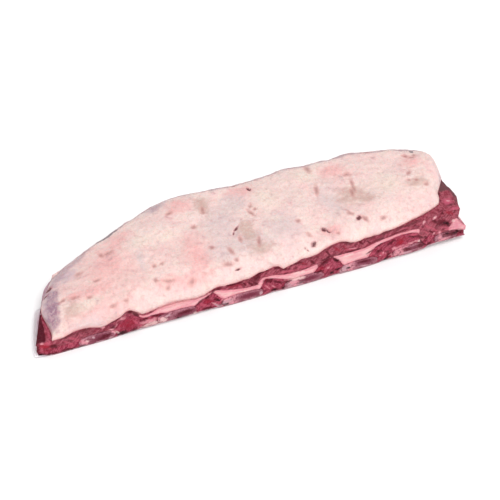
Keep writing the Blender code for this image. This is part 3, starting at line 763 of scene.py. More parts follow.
class Paint:
    """A procedural material under construction.  Lengths in it are millimetres."""

    def __init__(self, name):
        self.material = bpy.data.materials.new(name)
        self.material.use_nodes = True
        self.tree = self.material.node_tree
        metres = self.node("ShaderNodeTexCoord", {}, {}, "Object")
        self.place = self.node("ShaderNodeVectorMath", {"operation": "MULTIPLY"},
                               {0: metres, 1: (1 / MM, 1 / MM, 1 / MM)})

    def connect(self, node, values):
        """Link or set a node's sockets."""
        for key, value in values.items():
            if isinstance(value, Value):
                self.tree.links.new(value.socket, node.inputs[key])
            else:
                node.inputs[key].default_value = value

    def node(self, kind, settings, values, output=0):
        """Add a node, set it up, link or set its sockets, and return one output."""
        node = self.tree.nodes.new(kind)
        for key, setting in settings.items():
            setattr(node, key, setting)
        self.connect(node, values)
        return Value(self, node.outputs[output])

    def field(self, name):
        """Read a vertex attribute."""
        return self.node("ShaderNodeAttribute", {"attribute_name": name}, {}, "Fac")

    def grain(self, size, detail=2.0, stretch=(1.0, 1.0, 1.0), warp=0.0, turn=0.0):
        """Return noise of a given size, drawn out by its stretch and tipped by its turn."""
        place = self.node("ShaderNodeVectorRotate", {"rotation_type": "Y_AXIS"},
                          {"Vector": self.place, "Angle": math.radians(turn)})
        scale = tuple(1.0 / (size * factor) for factor in stretch)
        place = self.node("ShaderNodeVectorMath", {"operation": "MULTIPLY"}, {0: place, 1: scale})
        return self.node("ShaderNodeTexNoise", {"noise_dimensions": "3D"},
                         {"Vector": place, "Scale": 1.0, "Detail": detail, "Distortion": warp})

    def ramp(self, value, low, high):
        """Return a soft step of a value, 0 below low and 1 above high."""
        return self.node("ShaderNodeMapRange", {"interpolation_type": "SMOOTHSTEP"},
                         {"Value": value, "From Min": low, "From Max": high})

    def ragged(self, name, *noises):
        """Return a field, its edge broken up by (noise, amount) pairs."""
        edge = self.field(name)
        for grain, amount in noises:
            edge = edge + (grain - 0.5) * amount
        return edge

    def mix(self, share, first, second):
        """Mix two colours."""
        first, second = (colour if isinstance(colour, Value) else (*colour, 1.0)
                         for colour in (first, second))
        return self.node("ShaderNodeMix", {"data_type": "RGBA"},
                         {"Factor": share, 6: first, 7: second}, 2)

    def over(self, colour, *layers):
        """Lay (value, low, high, strength, shade) layers over a colour, each by a soft step."""
        for value, low, high, strength, shade in layers:
            colour = self.mix(self.ramp(value, low, high) * strength, colour, shade)
        return colour

    def cut_marks(self, colour, soft, fine):
        """Lay the marks of the cut faces over a colour."""
        for kind, shade, strength in FACE_COLOURS:
            edge = self.ragged(kind, (soft, 0.9), (fine, 0.8))
            colour = self.over(colour, (edge, 0.32, 0.76, strength, srgb(*shade)))
        return colour

    def finish(self, colour, roughness, height, depth, sheen, inner=0.0, radius=FATTY, scale=2.0):
        """Connect the shader, with a bump of a height field.

        depth is the height field's in millimetres, sheen how much the surface shines, inner
        the share of light that goes in, and radius times scale how far each colour gets.
        """
        bump = self.node("ShaderNodeBump", {}, {"Height": height, "Distance": depth * MM,
                                                "Strength": 1.0}, "Normal")
        self.connect(self.tree.nodes["Principled BSDF"], {
            "Base Color": colour, "Roughness": roughness, "Normal": bump,
            "Specular IOR Level": sheen, "Subsurface Weight": inner,
            "Subsurface Radius": radius, "Subsurface Scale": scale * MM})
        return self.material


def paint_fat(colours):
    """Smooth raw fat: cream and pink, with duller patches, stains and spots of blood, and painted shade
    on its edges.
    """
    paint = Paint("raw_fat")
    broad, patch = paint.grain(24.0, 2.0), paint.grain(10.0, 3.0, warp=0.8)
    soft, fine = paint.grain(5.0, 4.0, warp=0.5), paint.grain(1.7, 3.0)
    cool, warm = paint.grain(7.4, 4.0, warp=1.0), paint.grain(8.6, 3.0, warp=0.6)
    veins, green = paint.grain(3.2, 3.0, (1.0, 1.8, 1.0), 1.2), paint.grain(4.3, 3.0, warp=0.8)
    rough, smudge = ((patch, 0.7), (soft, 0.9), (fine, 0.5)), ((soft, 0.7), (fine, 0.5))
    colour = paint.mix(paint.ramp(broad + (patch - 0.5) * 0.5, 0.35, 0.68),
                       colours.fat_cream, colours.fat_rose)
    colour = paint.over(colour, (cool, 0.5, 0.7, 0.5, srgb(238, 210, 210)),
                        (warm, 0.52, 0.7, 0.6, srgb(254, 232, 220)))
    # Tones of the fat, then painted shade: greyer and lilac on its left side, and grey along its back
    # and right edges.
    for zone, low, high, strength, shade in (
            ("flush", 0.0, 1.0, 0.8, srgb(250, 201, 197)), ("blush", 0.1, 1.1, 0.85, colours.fat_pink),
            ("dull", 0.1, 1.1, 0.8, colours.fat_grey), ("tan", 0.15, 1.05, 0.8, srgb(208, 172, 160)),
            ("cream", 0.2, 1.1, 0.8, srgb(254, 233, 220)), ("veil", 0.1, 1.0, 0.8, srgb(212, 184, 196)),
            ("grey_edge_shade", 0.05, 1.0, 0.8, srgb(188, 156, 168)),
            ("lilac", 0.15, 0.95, 0.88, srgb(160, 112, 140))):
        colour = paint.over(colour, (paint.ragged(zone, *rough), low, high, strength, shade))
    # Paler veins through the painted lilac shade on the left side.
    colour = paint.mix(paint.field("lilac") * paint.ramp(veins, 0.48, 0.6) * 0.55, colour,
                       srgb(226, 188, 200))
    # Painted shade: a greyer band down the back edge, broken up by noise.
    rear_shade = paint.ragged("rear_shade", (broad, 1.8), (patch, 1.4), (soft, 0.6))
    stain, blood = paint.ragged("stain", *smudge), paint.ragged("blood", *smudge)
    colour = paint.over(
        colour,
        (veins, 0.52, 0.72, 0.4, srgb(220, 170, 164)), (green, 0.54, 0.7, 0.4, srgb(224, 206, 194)),
        (fine, 0.45, 0.75, 0.3, srgb(255, 240, 234)), (1.0 - fine, 0.5, 0.75, 0.25, srgb(222, 178, 174)),
        (paint.field("skirt"), 0.15, 0.95, 0.75, colours.fat_rim),
        (rear_shade, 0.3, 1.05, 0.75, srgb(186, 150, 158)),
        (stain, 0.0, 0.5, 0.45, srgb(232, 170, 164)), (stain, 0.25, 1.0, 0.6, srgb(168, 114, 112)),
        # Painted shade: dark grey lines along the back and right edges.
        (paint.ragged("grey_and_shade", *smudge), 0.3, 0.7, 0.85, srgb(122, 106, 112)),
        (blood, 0.02, 0.5, 0.5, srgb(222, 146, 150)),
        (paint.ragged("blood", (soft, 0.6), (fine, 0.9)), 0.28, 0.78, 0.95, colours.blood))
    height = soft * 0.7 + fine * 0.2 + veins * 0.3
    return paint.finish(colour, 0.36 + fine * 0.2, height, depth=1.1, sheen=0.35, inner=0.15,
                        scale=3.0)


def lean_colour(paint, base, light, size):
    """Return lean meat's colour and relief: diagonal fibres, dark clots and pale threads."""
    fibres = paint.grain(size * 1.2, 4.0, (3.4, 2.0, 0.8), 0.8, 48.0)
    clots = paint.grain(size * 1.7, 4.0, (1.4, 1.2, 1.0), 1.2)
    threads = paint.grain(size * 0.9, 3.0, (3.0, 1.0, 0.6), 1.4, 42.0)
    colour = paint.over(paint.mix(paint.ramp(fibres, 0.4, 0.6), base, light),
                        (clots, 0.5, 0.66, 0.6, srgb(98, 12, 40)),
                        (threads, 0.56, 0.7, 0.55, srgb(214, 112, 132)))
    return colour, fibres * 0.6 + threads * 0.5 + clots * 0.5


def paint_muscle(colours):
    """The outer muscle: rose brown, drawn out along the slab, darker with painted shade under the fat,
    with painted shade and highlights on its bare right corner.
    """
    paint = Paint("outer_muscle")
    fine, broad = paint.grain(1.3, 3.0), paint.grain(8.0, 3.0, warp=0.6)
    colour, height = lean_colour(paint, colours.muscle, colours.muscle_light, 1.7)
    colour = paint.over(colour, (broad, 0.46, 0.7, 0.4, colours.muscle_brown_and_shade))
    # Painted shade: a darker brown band, in patches, on the cut face just under the fat.
    under = paint.ramp(paint.field("under"), 0.3, 0.95) * paint.ramp(broad, 0.25, 0.55)
    colour = paint.cut_marks(paint.mix(under * 0.8, colour, colours.muscle_brown_and_shade), broad, fine)
    # The bare parts: lighter and darker muscle, a pale veil on the left ledge, and painted shade and
    # painted highlights on the right corner.
    for bare, shade in (("bare_light_and_highlight", (214, 96, 124)), ("bare_dark_and_shade", (80, 0, 26)),
                        ("bare_grey", (112, 74, 78)), ("bare_veil", (206, 172, 184)),
                        ("bare_highlight", (236, 172, 182))):
        edge = paint.ragged(bare, (broad, 0.7), (fine, 0.7))
        colour = paint.over(colour, (edge, 0.15, 0.9, 0.9, srgb(*shade)))
    return paint.finish(colour, 0.3 + fine * 0.24, height + fine * 0.3, depth=1.0, sheen=0.12,
                        inner=0.06, radius=MEATY)


def paint_rib_meat(colours):
    """The meat between the ribs: deep red with paler threads, and painted shade along the edges of its
    cut faces.
    """
    paint = Paint("rib_meat")
    fine, broad = paint.grain(1.0, 3.0), paint.grain(4.0, 3.0, warp=0.8)
    colour, height = lean_colour(paint, colours.rib_meat, colours.rib_meat_light, 1.4)
    colour = paint.cut_marks(colour, broad, fine)
    # Painted shade: darker within about a millimetre of each cut face's edge, where the meat meets bone,
    # seam and skin.
    low = paint.ramp(0.9 - paint.field("rim"), 0.0, 0.9) * paint.field("cut")
    colour = paint.mix(low * 0.4, colour, colours.meat_edge_shade)
    return paint.finish(colour, 0.3 + fine * 0.24, height + fine * 0.3, depth=1.0, sheen=0.12,
                        inner=0.06, radius=MEATY)


def paint_seam(colours):
    """The seam of fat between the muscles: pink, whiter where it is thick, lean in places."""
    paint = Paint("seam_fat")
    soft, fine = paint.grain(3.6, 3.0, (2.0, 1.0, 1.0), 0.8), paint.grain(1.2, 3.0)
    colour = paint.mix(paint.ramp(soft, 0.35, 0.7), colours.seam, colours.seam_pale)
    thick = paint.field("rim") + (soft - 0.5) * 3.0
    colour = paint.over(colour, (thick, 1.2, 3.6, 0.7, colours.seam_cream))
    thin = paint.ramp(1.4 - paint.field("rim") + (fine - 0.5), 0.1, 1.2) * paint.field("cut")
    colour = paint.mix(thin * 0.6, colour, srgb(226, 124, 140))
    lean, height = lean_colour(paint, colours.muscle, colours.muscle_light, 1.7)
    lean_part = paint.ragged("lean", (soft, 0.6), (fine, 0.4))
    colour = paint.cut_marks(paint.over(colour, (lean_part, 0.35, 0.65, 1.0, lean)), soft, fine)
    return paint.finish(colour, 0.34 + fine * 0.2, soft * 0.5 + fine * 0.35 + height * 0.3,
                        depth=0.8, sheen=0.25, inner=0.1)


def paint_bone(colours):
    """Sawn rib bone: a mottled plum section that fades into the meat round it."""
    paint = Paint("rib_bone")
    soft, fine = paint.grain(2.6, 4.0, warp=0.8), paint.grain(0.9, 3.0)
    pores = paint.grain(0.7, 2.0, (1.6, 1.0, 1.0))
    colour = paint.over(
        paint.mix(paint.ramp(soft, 0.36, 0.62), colours.bone_border, colours.bone_pink),
        (1.0 - soft, 0.52, 0.66, 0.6, colours.bone_core), (pores, 0.55, 0.75, 0.3, srgb(120, 60, 74)))
    return paint.finish(paint.cut_marks(colour, soft, fine), 0.36 + fine * 0.2,
                        pores * 0.5 + soft * 0.6, depth=0.7, sheen=0.12, inner=0.05)


def paint_skin(colours):
    """The thin skin inside the ribs: grey lilac, pale over bone and red over meat."""
    paint = Paint("inner_skin")
    soft, fine = paint.grain(7.0, 4.0, (1.0, 3.0, 1.0), 0.8), paint.grain(1.5, 3.0)
    colour = paint.mix(paint.ramp(soft, 0.35, 0.7), colours.skin, srgb(176, 132, 146))
    over_bone = paint.field("over_bone") * paint.ramp(soft, 0.2, 0.6)
    colour = paint.mix(over_bone * 0.8, colour, srgb(222, 190, 192))
    between = (1.0 - paint.field("over_bone")) * paint.ramp(soft, 0.3, 0.6)
    colour = paint.mix(between * 0.6, colour, colours.rib_meat)
    colour = paint.mix(paint.field("cut") * 0.75, colour, srgb(142, 74, 90))
    colour = paint.mix(paint.field("flap"), paint.cut_marks(colour, soft, fine), colours.skin_flap)
    return paint.finish(colour, 0.3 + fine * 0.2, soft * 0.6 + fine * 0.3, depth=0.6, sheen=0.4,
                        inner=0.9, radius=EVEN, scale=4.0)


# ---------------------------------------------------------------------------
# What a user may change.

def colour_choice(name, description, default):
    """Declare a colour that can be changed in the sidebar."""
    return FloatVectorProperty(name=name, description=description, subtype="COLOR", size=3,
                               min=0.0, max=1.0, default=default)


def length_choice(name, description, default, least, most):
    """Declare a length in metres that can be changed in the sidebar."""
    return FloatProperty(name=name, description=description, subtype="DISTANCE",
                         default=default, min=least, max=most)


class BeefRibColours(bpy.types.PropertyGroup):
    """Colours of the slab's tissues."""

    fat_cream: colour_choice("Fat cream", "Palest colour of the fat cap", srgb(254, 225, 219))
    fat_rose: colour_choice("Fat rose", "Second colour of the fat cap", srgb(253, 213, 210))
    fat_pink: colour_choice("Fat pink", "Colour where blood tints the fat", srgb(253, 188, 186))
    fat_grey: colour_choice("Fat grey", "Colour of the duller patches", srgb(230, 208, 208))
    fat_rim: colour_choice("Fat rim", "Colour of the fat's cut edge", srgb(238, 172, 172))
    blood: colour_choice("Blood", "Colour of the dark spots in the fat", srgb(106, 46, 54))
    muscle: colour_choice("Muscle", "Main colour of the outer muscle", srgb(150, 54, 72))
    muscle_light: colour_choice("Muscle light", "Its lighter fibres", srgb(188, 96, 112))
    # Also the colour of the painted shade just under the fat.
    muscle_brown_and_shade: colour_choice("Muscle brown", "Brown of its mottling, and of the painted shade under the fat", srgb(112, 44, 54))
    # Painted shade along the edges of the cut meat.
    meat_edge_shade: colour_choice("Meat dark", "Painted shade along the edges of the cut meat", srgb(84, 16, 34))
    rib_meat: colour_choice("Rib meat", "Main colour of the meat between ribs", srgb(150, 40, 66))
    rib_meat_light: colour_choice("Rib meat light", "Its lighter fibres", srgb(194, 88, 110))
    seam: colour_choice("Seam", "Main colour of the seam of fat", srgb(240, 156, 168))
    seam_pale: colour_choice("Seam pale", "Paler parts of the seam of fat", srgb(248, 180, 188))
    seam_cream: colour_choice("Seam cream", "The middle of its thick parts", srgb(252, 204, 202))
    bone_border: colour_choice("Bone border", "Outer part of a sawn bone", srgb(156, 88, 104))
    bone_pink: colour_choice("Bone pink", "Pinker parts of its border", srgb(192, 130, 144))
    bone_core: colour_choice("Bone core", "Darker parts of a sawn bone", srgb(118, 50, 66))
    skin: colour_choice("Skin", "Main colour of the inner skin", srgb(206, 170, 178))
    skin_flap: colour_choice("Skin flap", "Colour of the left end's flap", (0.96, 0.84, 0.92))
    floor: colour_choice("Floor", "Colour of the floor", (0.96, 0.96, 0.96))


class BeefRibSizes(bpy.types.PropertyGroup):
    """Sizes of the relief on the slab, and of the stage."""

    fat_relief: length_choice("Fat relief", "Height of the fat's soft unevenness", 0.0009, 0.0, 0.002)
    cut_relief: length_choice("Cut relief", "Roughness of the cut meat", 0.0007, 0.0, 0.001)
    edge_roll: length_choice("Edge roll", "How far each layer's edge is rounded", 0.0003, 0.0, 0.0006)
    mesh_step: length_choice("Mesh step", "Spacing of points on the cut faces", 0.0008, 0.0005, 0.003)
    floor_size: length_choice("Floor size", "Side of the square floor", 20.0, 1.0, 50.0)
    sun: FloatProperty(name="Key light", description="Strength of the broad key light",
                       default=2.2, min=0.0, max=20.0)
    sky: FloatProperty(name="Surrounding light", description="Strength of the light from all round",
                       default=0.66, min=0.0, max=3.0)


class BeefRibPiece:
    """What the operators that make pieces share."""

    bl_options = {"REGISTER", "UNDO"}

    def execute(self, context):
        self.make(context.scene.beef_rib_sizes, context.scene.beef_rib_colours)
        return {"FINISHED"}


class MESH_OT_beef_fat_cap(BeefRibPiece, bpy.types.Operator):
    """Add the thick cap of fat, with its lumps, dimples, stains and spots"""

    bl_idname = "mesh.beef_fat_cap"
    bl_label = "Fat Cap"

    def make(self, sizes, colours):
        columns = np.linspace(CAP_FIRST, CAP_LAST, FAT_COLUMNS)
        coarse = columns[::FAT_FOOT_STEP]
        place = np.concatenate([coarse, columns[::-1]])
        share = np.concatenate([np.zeros(len(coarse)), np.ones(len(columns))])
        y = rows_behind(slab_depth(place), FAT_ROWS, corner_inset(place))
        low = seat(place, y) + GAP
        shape = Shape(place, y, low + share * (cap_top(place, y) - low))
        shape.points[:, 2] += self.unevenness(shape, sizes) * shape.per_point(share)
        shape.close(sizes, seed=7, drawn_out=3.0, strength=0.5, spacing=FAT_STEP)
        world = shape.points + CORNER
        fields = marks(SPOTS, world[:, 0], world[:, 1])
        fields.update(marks(ZONES, world[:, 0], world[:, 1]))
        fields.update(self.edge_fields(shape))
        shape.build("fat_cap_surface", paint_fat(colours), "fat", "fat_cap", fields)

    @staticmethod
    def unevenness(shape, sizes):
        """Return the fat's soft lumps, and the pits of its spots, fading out at its edges."""
        world = shape.points + CORNER
        spots = marks(SPOTS, world[:, 0], world[:, 1])
        flat = world * np.array([1.0, 1.0, 0.4])
        lift = wander(flat, 14.0, 5, 2) + 0.5 * wander(flat, 5.0, 6, 3) - 0.7
        edge = clamp((shape.points[:, 1] - corner_inset(shape.places)) / PIT_FREE_EDGE)
        edge = edge * clamp((slab_depth(shape.places) - shape.points[:, 1]) / PIT_FREE_EDGE)
        lift = lift * sizes.fat_relief / MM
        lift = lift - BLOOD_PIT * clamp(spots["blood"] * 2 - 0.5) - STAIN_PIT * spots["stain"]
        return lift * edge

    @staticmethod
    def edge_fields(shape):
        """Return where the fat is tinted: low above the muscle, and with painted shade down its back
        edge.
        """
        y = shape.points[:, 1]
        corner = rise(y, 40.0, 15.0) * (1.0 - rise(shape.places, 50.0, 20.0))
        skirt = clamp(1.0 - (shape.points[:, 2] - seat(shape.places, y)) / SKIRT_HEIGHT)
        # The painted shade down the back edge, wider towards the right.
        past = slab_depth(shape.places) - y - REAR_SHADE_BAND - REAR_SHADE_GROWTH * shape.places / LENGTH
        least = np.where(past > 0.0, 0.0, REAR_SHADE_LEAST)
        return {"skirt": skirt * (1.0 - 0.9 * corner),
                "rear_shade": least + (1.0 - least) * hump(past, 0.0, REAR_SHADE_FADE)}


class MESH_OT_beef_outer_muscle(BeefRibPiece, bpy.types.Operator):
    """Add the outer muscle under the fat, bare at the left ledge and the right corner"""

    bl_idname = "mesh.beef_outer_muscle"
    bl_label = "Outer Muscle"

    def make(self, sizes, colours):
        shape, share = layer(CAP_LAST, sides=9, rows=40, bottom=seam_high, top=seat)
        self.roughen(shape, share)
        shape.close(sizes, seed=9, drawn_out=2.0)
        fields = face_fields(shape)
        depth_under = seat(shape.places, shape.points[:, 1]) - shape.points[:, 2]
        # Painted shade on the cut faces, fading out UNDER_FAT below the fat.
        fields["under"] = clamp(1.0 - depth_under / UNDER_FAT) * fields["cut"]
        fields.update(self.bare_fields(shape, depth_under))
        shape.build("outer_muscle_surface", paint_muscle(colours), "muscle", "outer_muscle", fields)

    @staticmethod
    def roughen(shape, share):
        """Roughen the muscle's ends and bare top, and let its right front corner bulge."""
        y, inset = shape.points[:, 1], corner_inset(shape.places)
        ends, top = (share > 0.01) & (share < 0.99), share > 0.99
        rough = wander(shape.points, 3.0, 8, 3)
        side = np.where(shape.places > 200, -1.0, 1.0)
        shape.points[:, 0] += side * ends * (0.6 + 0.9 * rough)
        bare = (shape.places < CAP_FIRST - 1.0) | (y < inset - 0.8)
        shape.points[:, 2] += top * bare * (0.7 * rough - 0.3)
        bulge = hump(y, END_BULGE_AT, END_BULGE_REACH) * rise(inset - y, 0.0, 5.0)
        shape.points[:, 0] += END_BULGE * bulge * rise(shape.places, 404.0, 14.0)

    @staticmethod
    def bare_fields(shape, depth_under):
        """Return the shades of the bare muscle: its left ledge, and its right front corner with painted
        shade and painted highlights.
        """
        x, y, place = shape.points[:, 0], shape.points[:, 1], shape.places
        # The left ledge: dark outside, lighter beside the fat and veiled further back.
        width = ledge_width(y)
        from_fat = (width - shifted(place, y)) / np.maximum(width, 1.0)
        left = clamp((26.0 - place) / 8.0) * (1.0 - shape.cut)
        uneven = 14.0 * (wander(shape.points, 7.0, 31, 3) - 0.5)
        veil = rise(y + uneven, 33.0, 11.0) * (1.0 - rise(y - uneven, 92.0, 14.0))
        veil = veil * clamp((44.0 - place + uneven) / 22.0)
        dark = rise(from_fat, 0.32, 0.2) * rise(y, 0.0, 4.0) * left * (1.0 - veil)
        light = 0.45 * hump(from_fat, 0.16, 0.14) * (1.0 - rise(y, 22.0, 8.0)) * left
        # The right corner: painted shade beside the fat and in one fold, painted highlights in its
        # middle and in front with a small glint, grey behind.
        right = rise(place, RIGHT_BARE, 6.0) * (1.0 - shape.cut) * smooth(1.4 - depth_under / 5.0)
        grey = rise(y, 29.0, 5.0) * (1.0 - rise(y, 50.0, 22.0))
        rim = rise(place, 415.5, 3.0) * rise(y, 6.0, 6.0)
        shade_beside_fat = rise(y - corner_inset(place), -5.0, 3.0) * rise(y, 16.0, 4.0)
        fold_shade = hump(y - 0.12 * (x - 408.0), 7.5, 1.2) * rise(x, 402.0, 6.0)
        highlight = hump(x, 412.5, 6.0) * hump(y, 15.0, 5.5)
        front = hump(x, 413.0, 7.0) * hump(y, 2.0, 2.6)
        glint = hump(x, 413.0, 2.6) * hump(y, 15.2, 1.5)
        # The left ledge's dark and light are the muscle's own; the right corner adds painted shade and
        # painted highlights.
        return {"bare_dark_and_shade": dark + right * np.maximum(shade_beside_fat * (1.0 - grey), 0.8 * fold_shade),
                "bare_light_and_highlight": light + right * 0.95 * np.maximum(highlight, front),
                "bare_grey": right * np.maximum(grey, 0.7 * rim),
                "bare_veil": veil, "bare_highlight": right * glint}


class MESH_OT_beef_seam_fat(BeefRibPiece, bpy.types.Operator):
    """Add the seam of pink fat between the outer muscle and the ribs"""

    bl_idname = "mesh.beef_seam_fat"
    bl_label = "Seam of Fat"

    def make(self, sizes, colours):
        shape, _share = layer(LENGTH, sides=3, rows=26, bottom=seam_low, top=seam_high)
        shape.close(sizes, seed=10, drawn_out=2.5, strength=0.7)
        shape.build("seam_fat_surface", paint_seam(colours), "seam_fat", "seam_fat",
                    face_fields(shape))


class MESH_OT_beef_ribs(BeefRibPiece, bpy.types.Operator):
    """Add the seven rib bones, sawn off level at the front and the back"""

    bl_idname = "mesh.beef_ribs"
    bl_label = "Rib Bones"

    def make(self, sizes, colours):
        material = paint_bone(colours)
        angle = np.linspace(0.0, 2 * math.pi, 72, endpoint=False)
        right, up = bone_section(angle)
        for number, (centre, half, lift) in enumerate(BONES):
            place = centre + (half - GAP) * right
            wave = wander(np.stack([place, 9 * up, 0 * up], axis=1), 5.0, 20 + number)
            middle = SKIN + lift + RIB_THICKNESS / 2
            z = middle + up * (RIB_THICKNESS / 2 - GAP) + 0.25 * wave * (np.abs(right) < 0.9)
            y = rows_behind(slab_depth(place) + BONE_PROUD, count=10, front=-BONE_PROUD)
            shape = Shape(place, y, np.broadcast_to(np.maximum(z, SKIN + lift), y.shape))
            shape.close(sizes, seed=30 + number, strength=0.4)
            fields = face_fields(shape)
            if number in PALE_RIBS:
                pale = hump(shape.places, centre - 0.5 * half, 0.36 * half)
                pale = PALE_SHARE * pale * (shape.points[:, 1] < 20)
                fields["pale"] = np.maximum(fields["pale"], pale)
            shape.build(f"rib_{number + 1}_sawn", material, "bone", f"rib_{number + 1}", fields)


class MESH_OT_beef_rib_meat(BeefRibPiece, bpy.types.Operator):
    """Add the meat beside and between the rib bones"""

    bl_idname = "mesh.beef_rib_meat"
    bl_label = "Rib Meat"

    def make(self, sizes, colours):
        material = paint_rib_meat(colours)
        for gap in range(len(RIBS) + 1):
            first, last = 0.0, LENGTH
            left_side, right_side = [], []
            if gap > 0:
                left_side = self.beside(RIBS[gap - 1], 1.0, RIBS[gap - 1][4])
                first = left_side[-1][0]
            if gap < len(RIBS):
                right_side = self.beside(RIBS[gap], -1.0, -RIBS[gap][3])
                last = right_side[-1][0]
            top = np.arange(last, first, -MEAT_STEP)[1:]
            bottom = np.arange(left_side[0][0] if left_side else 0.0,
                               right_side[0][0] if right_side else LENGTH, MEAT_STEP)[1:]
            ring = [(x, None, "skin") for x in bottom]
            ring += [(x, z, "bone") for x, z in right_side]
            ring += [(x, None, "seam") for x in top]
            ring += [(x, z, "bone") for x, z in reversed(left_side)]
            self.make_one(gap, ring, sizes, material)

    @staticmethod
    def beside(rib, side, foot):
        """Return points on a bone's outline, from where it rests up to the seam's foot."""
        centre, half, lift = rib[:3]
        start = math.asin(RIB_REST) - math.pi / 2
        end = math.acos(min(foot, 0.999) ** (RIB_POWER / 2)) if foot > 0 else (
            math.pi - math.acos((-foot) ** (RIB_POWER / 2)))
        right, up = bone_section(np.linspace(start, end, 26))
        return list(zip(centre + side * right * (half + GAP),
                        SKIN + lift + RIB_THICKNESS / 2 * (1.0 + up)))

    def make_one(self, gap, ring, sizes, material):
        """Build one piece of meat from its ring of corners."""
        place = np.array([corner[0] for corner in ring])
        y = rows_behind(slab_depth(place), count=22)
        skin_top = GROUND(place) + SKIN + GAP
        z = np.empty_like(y)
        below_seam = seam_low(place, y) - GAP
        for column, (_x, height, kind) in enumerate(ring):
            if kind == "skin":
                z[:, column] = skin_top[column]
            elif kind == "seam":
                z[:, column] = below_seam[:, column]
            else:
                z[:, column] = height
        shape = Shape(place, y, z)
        shape.close(sizes, seed=40 + gap, drawn_out=1.3, strength=1.25)
        name = f"rib_meat_{gap + 1}"
        shape.build(name + "_surface", material, "rib_meat", name, face_fields(shape))


class MESH_OT_beef_inner_skin(BeefRibPiece, bpy.types.Operator):
    """Add the thin skin on the ribs' inner side, with a flap at the left end"""

    bl_idname = "mesh.beef_inner_skin"
    bl_label = "Inner Skin"

    def make(self, sizes, colours):
        place, share = band(LENGTH, sides=1)
        y = rows_behind(slab_depth(place), count=40)
        ground = np.broadcast_to(GROUND(place), y.shape)
        part = clamp(y / slab_depth(0.0))
        flap = SKIN_FLAP * part ** FLAP_RISE * (1.0 - part ** FLAP_FALL)
        near = clamp(1.0 - place / CAP_FIRST)
        x = across(np.broadcast_to(place, y.shape), y) - flap * near
        outside = clamp((flap * near - place - 1.0) / 6.0)
        curl = FLAP_CURL * outside ** 1.4 * smooth(part / 0.3) * (1.0 - part ** FLAP_FALL)
        z = ground + TRIM + share * (SKIN - TRIM - GAP) + curl
        shape = Shape(place, y, z, x)
        shape.close(sizes, seed=60, strength=0.8, spacing=SKIN_STEP, roll=SKIN_ROLL)
        fields = face_fields(shape)
        over = np.zeros(len(shape.places))
        for centre, half, _lift in BONES:
            over = np.maximum(over, smooth((half - np.abs(shape.places - centre)) / 5.0 + 0.5))
        fields["over_bone"] = over
        fields["flap"] = clamp(1.2 - shape.places / 9.0)
        shape.build("inner_skin_surface", paint_skin(colours), "skin", "inner_skin", fields)


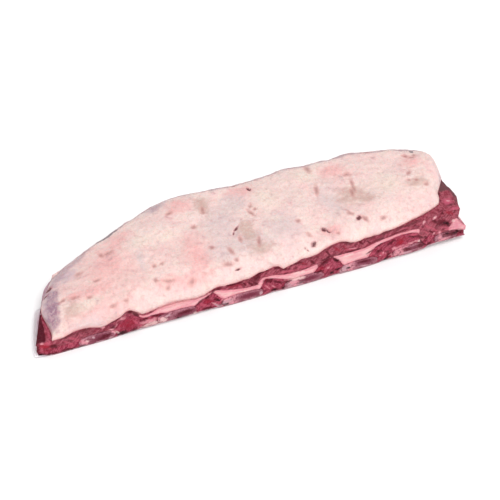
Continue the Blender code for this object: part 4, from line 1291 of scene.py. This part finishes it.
class SCENE_OT_beef_rib_stage(bpy.types.Operator):
    """Add the pale floor, the soft lights and the camera"""

    bl_idname = "scene.beef_rib_stage"
    bl_label = "Stage"

    AZIMUTH = -22.817811734
    ELEVATION = 40.0
    DISTANCE = 1.2
    FOCUS_PIXELS = 1288.96
    PICTURE_PIXELS = 500
    AIM = (216.83404, 37.20135, 26.0)
    LIGHT_FROM = (0.08, -0.55, 0.83)
    LIGHT_SPREAD = 50.0

    def execute(self, context):
        sizes, colours = context.scene.beef_rib_sizes, context.scene.beef_rib_colours
        self.add_floor(sizes.floor_size, tuple(colours.floor))
        self.add_lights(context.scene, sizes)
        self.add_camera(context.scene)
        return {"FINISHED"}

    @staticmethod
    def add_floor(size, colour):
        """Lay a square floor on the ground."""
        half = size / 2
        mesh = bpy.data.meshes.new("floor")
        mesh.from_pydata([(-half, -half, 0), (half, -half, 0), (half, half, 0), (-half, half, 0)],
                         [], [(0, 1, 2, 3)])
        paint = Paint("floor")
        faint = paint.grain(180.0, 1.0)
        darker = tuple(channel * 0.99 for channel in colour)
        mesh.materials.append(
            paint.finish(paint.mix(faint, colour, darker), 0.85, faint, depth=0.01, sheen=0.1))
        floor = bpy.data.objects.new("floor", mesh)
        bpy.context.scene.collection.objects.link(floor)

    def add_lights(self, scene, sizes):
        """Light the slab from all round and by one broad light from the front right."""
        world = bpy.data.worlds.new("studio")
        world.use_nodes = True
        background = world.node_tree.nodes["Background"]
        background.inputs["Color"].default_value = (1.0, 1.0, 1.0, 1.0)
        background.inputs["Strength"].default_value = sizes.sky
        scene.world = world
        lamp = bpy.data.lights.new("key", "SUN")
        lamp.angle = math.radians(self.LIGHT_SPREAD)
        lamp.energy = sizes.sun
        key = bpy.data.objects.new("key", lamp)
        key.rotation_euler = Vector(self.LIGHT_FROM).to_track_quat("Z", "Y").to_euler()
        scene.collection.objects.link(key)
        scene.view_settings.view_transform = "Standard"

    def add_camera(self, scene):
        """Place the camera, looking down on the slab from the front left."""
        turn, tilt = math.radians(self.AZIMUTH), math.radians(self.ELEVATION)
        back = Vector((math.sin(turn) * math.cos(tilt), -math.cos(turn) * math.cos(tilt),
                       math.sin(tilt)))
        right = Vector((math.cos(turn), math.sin(turn), 0.0))
        up = back.cross(right)
        aim = Vector((CORNER + np.array(self.AIM)) * MM) + Vector((0.0, 0.0, TRIM * MM))
        data = bpy.data.cameras.new("camera")
        data.sensor_width = 36.0
        data.lens = self.FOCUS_PIXELS / self.PICTURE_PIXELS * data.sensor_width
        camera = bpy.data.objects.new("camera", data)
        camera.matrix_world = Matrix.Translation(aim + back * self.DISTANCE) @ Matrix(
            (right, up, back)).transposed().to_4x4()
        scene.collection.objects.link(camera)
        scene.camera = camera


class VIEW3D_PT_beef_ribs(bpy.types.Panel):
    """Lists the slab's pieces, sizes and colours"""

    bl_label = "Beef Ribs"
    bl_idname = "VIEW3D_PT_beef_ribs"
    bl_space_type = "VIEW_3D"
    bl_region_type = "UI"
    bl_category = "Beef Ribs"

    def draw(self, context):
        layout = self.layout
        for step in STEPS:
            layout.operator(step.bl_idname)
        for group in (context.scene.beef_rib_sizes, context.scene.beef_rib_colours):
            box = layout.box()
            for name in group.__annotations__:
                box.prop(group, name)


STEPS = (
    MESH_OT_beef_fat_cap,
    MESH_OT_beef_outer_muscle,
    MESH_OT_beef_seam_fat,
    MESH_OT_beef_ribs,
    MESH_OT_beef_rib_meat,
    MESH_OT_beef_inner_skin,
    SCENE_OT_beef_rib_stage,
)
CLASSES = (BeefRibColours, BeefRibSizes, *STEPS, VIEW3D_PT_beef_ribs)


def register():
    """Register the classes and the scene's settings."""
    for item in CLASSES:
        bpy.utils.register_class(item)
    bpy.types.Scene.beef_rib_colours = PointerProperty(type=BeefRibColours)
    bpy.types.Scene.beef_rib_sizes = PointerProperty(type=BeefRibSizes)


def unregister():
    """Remove what register added."""
    del bpy.types.Scene.beef_rib_sizes
    del bpy.types.Scene.beef_rib_colours
    for item in reversed(CLASSES):
        bpy.utils.unregister_class(item)


def main():
    """Make every piece and the stage."""
    register()
    for step in STEPS:
        group, name = step.bl_idname.split(".")
        getattr(getattr(bpy.ops, group), name)()


if __name__ == "__main__":
    main()
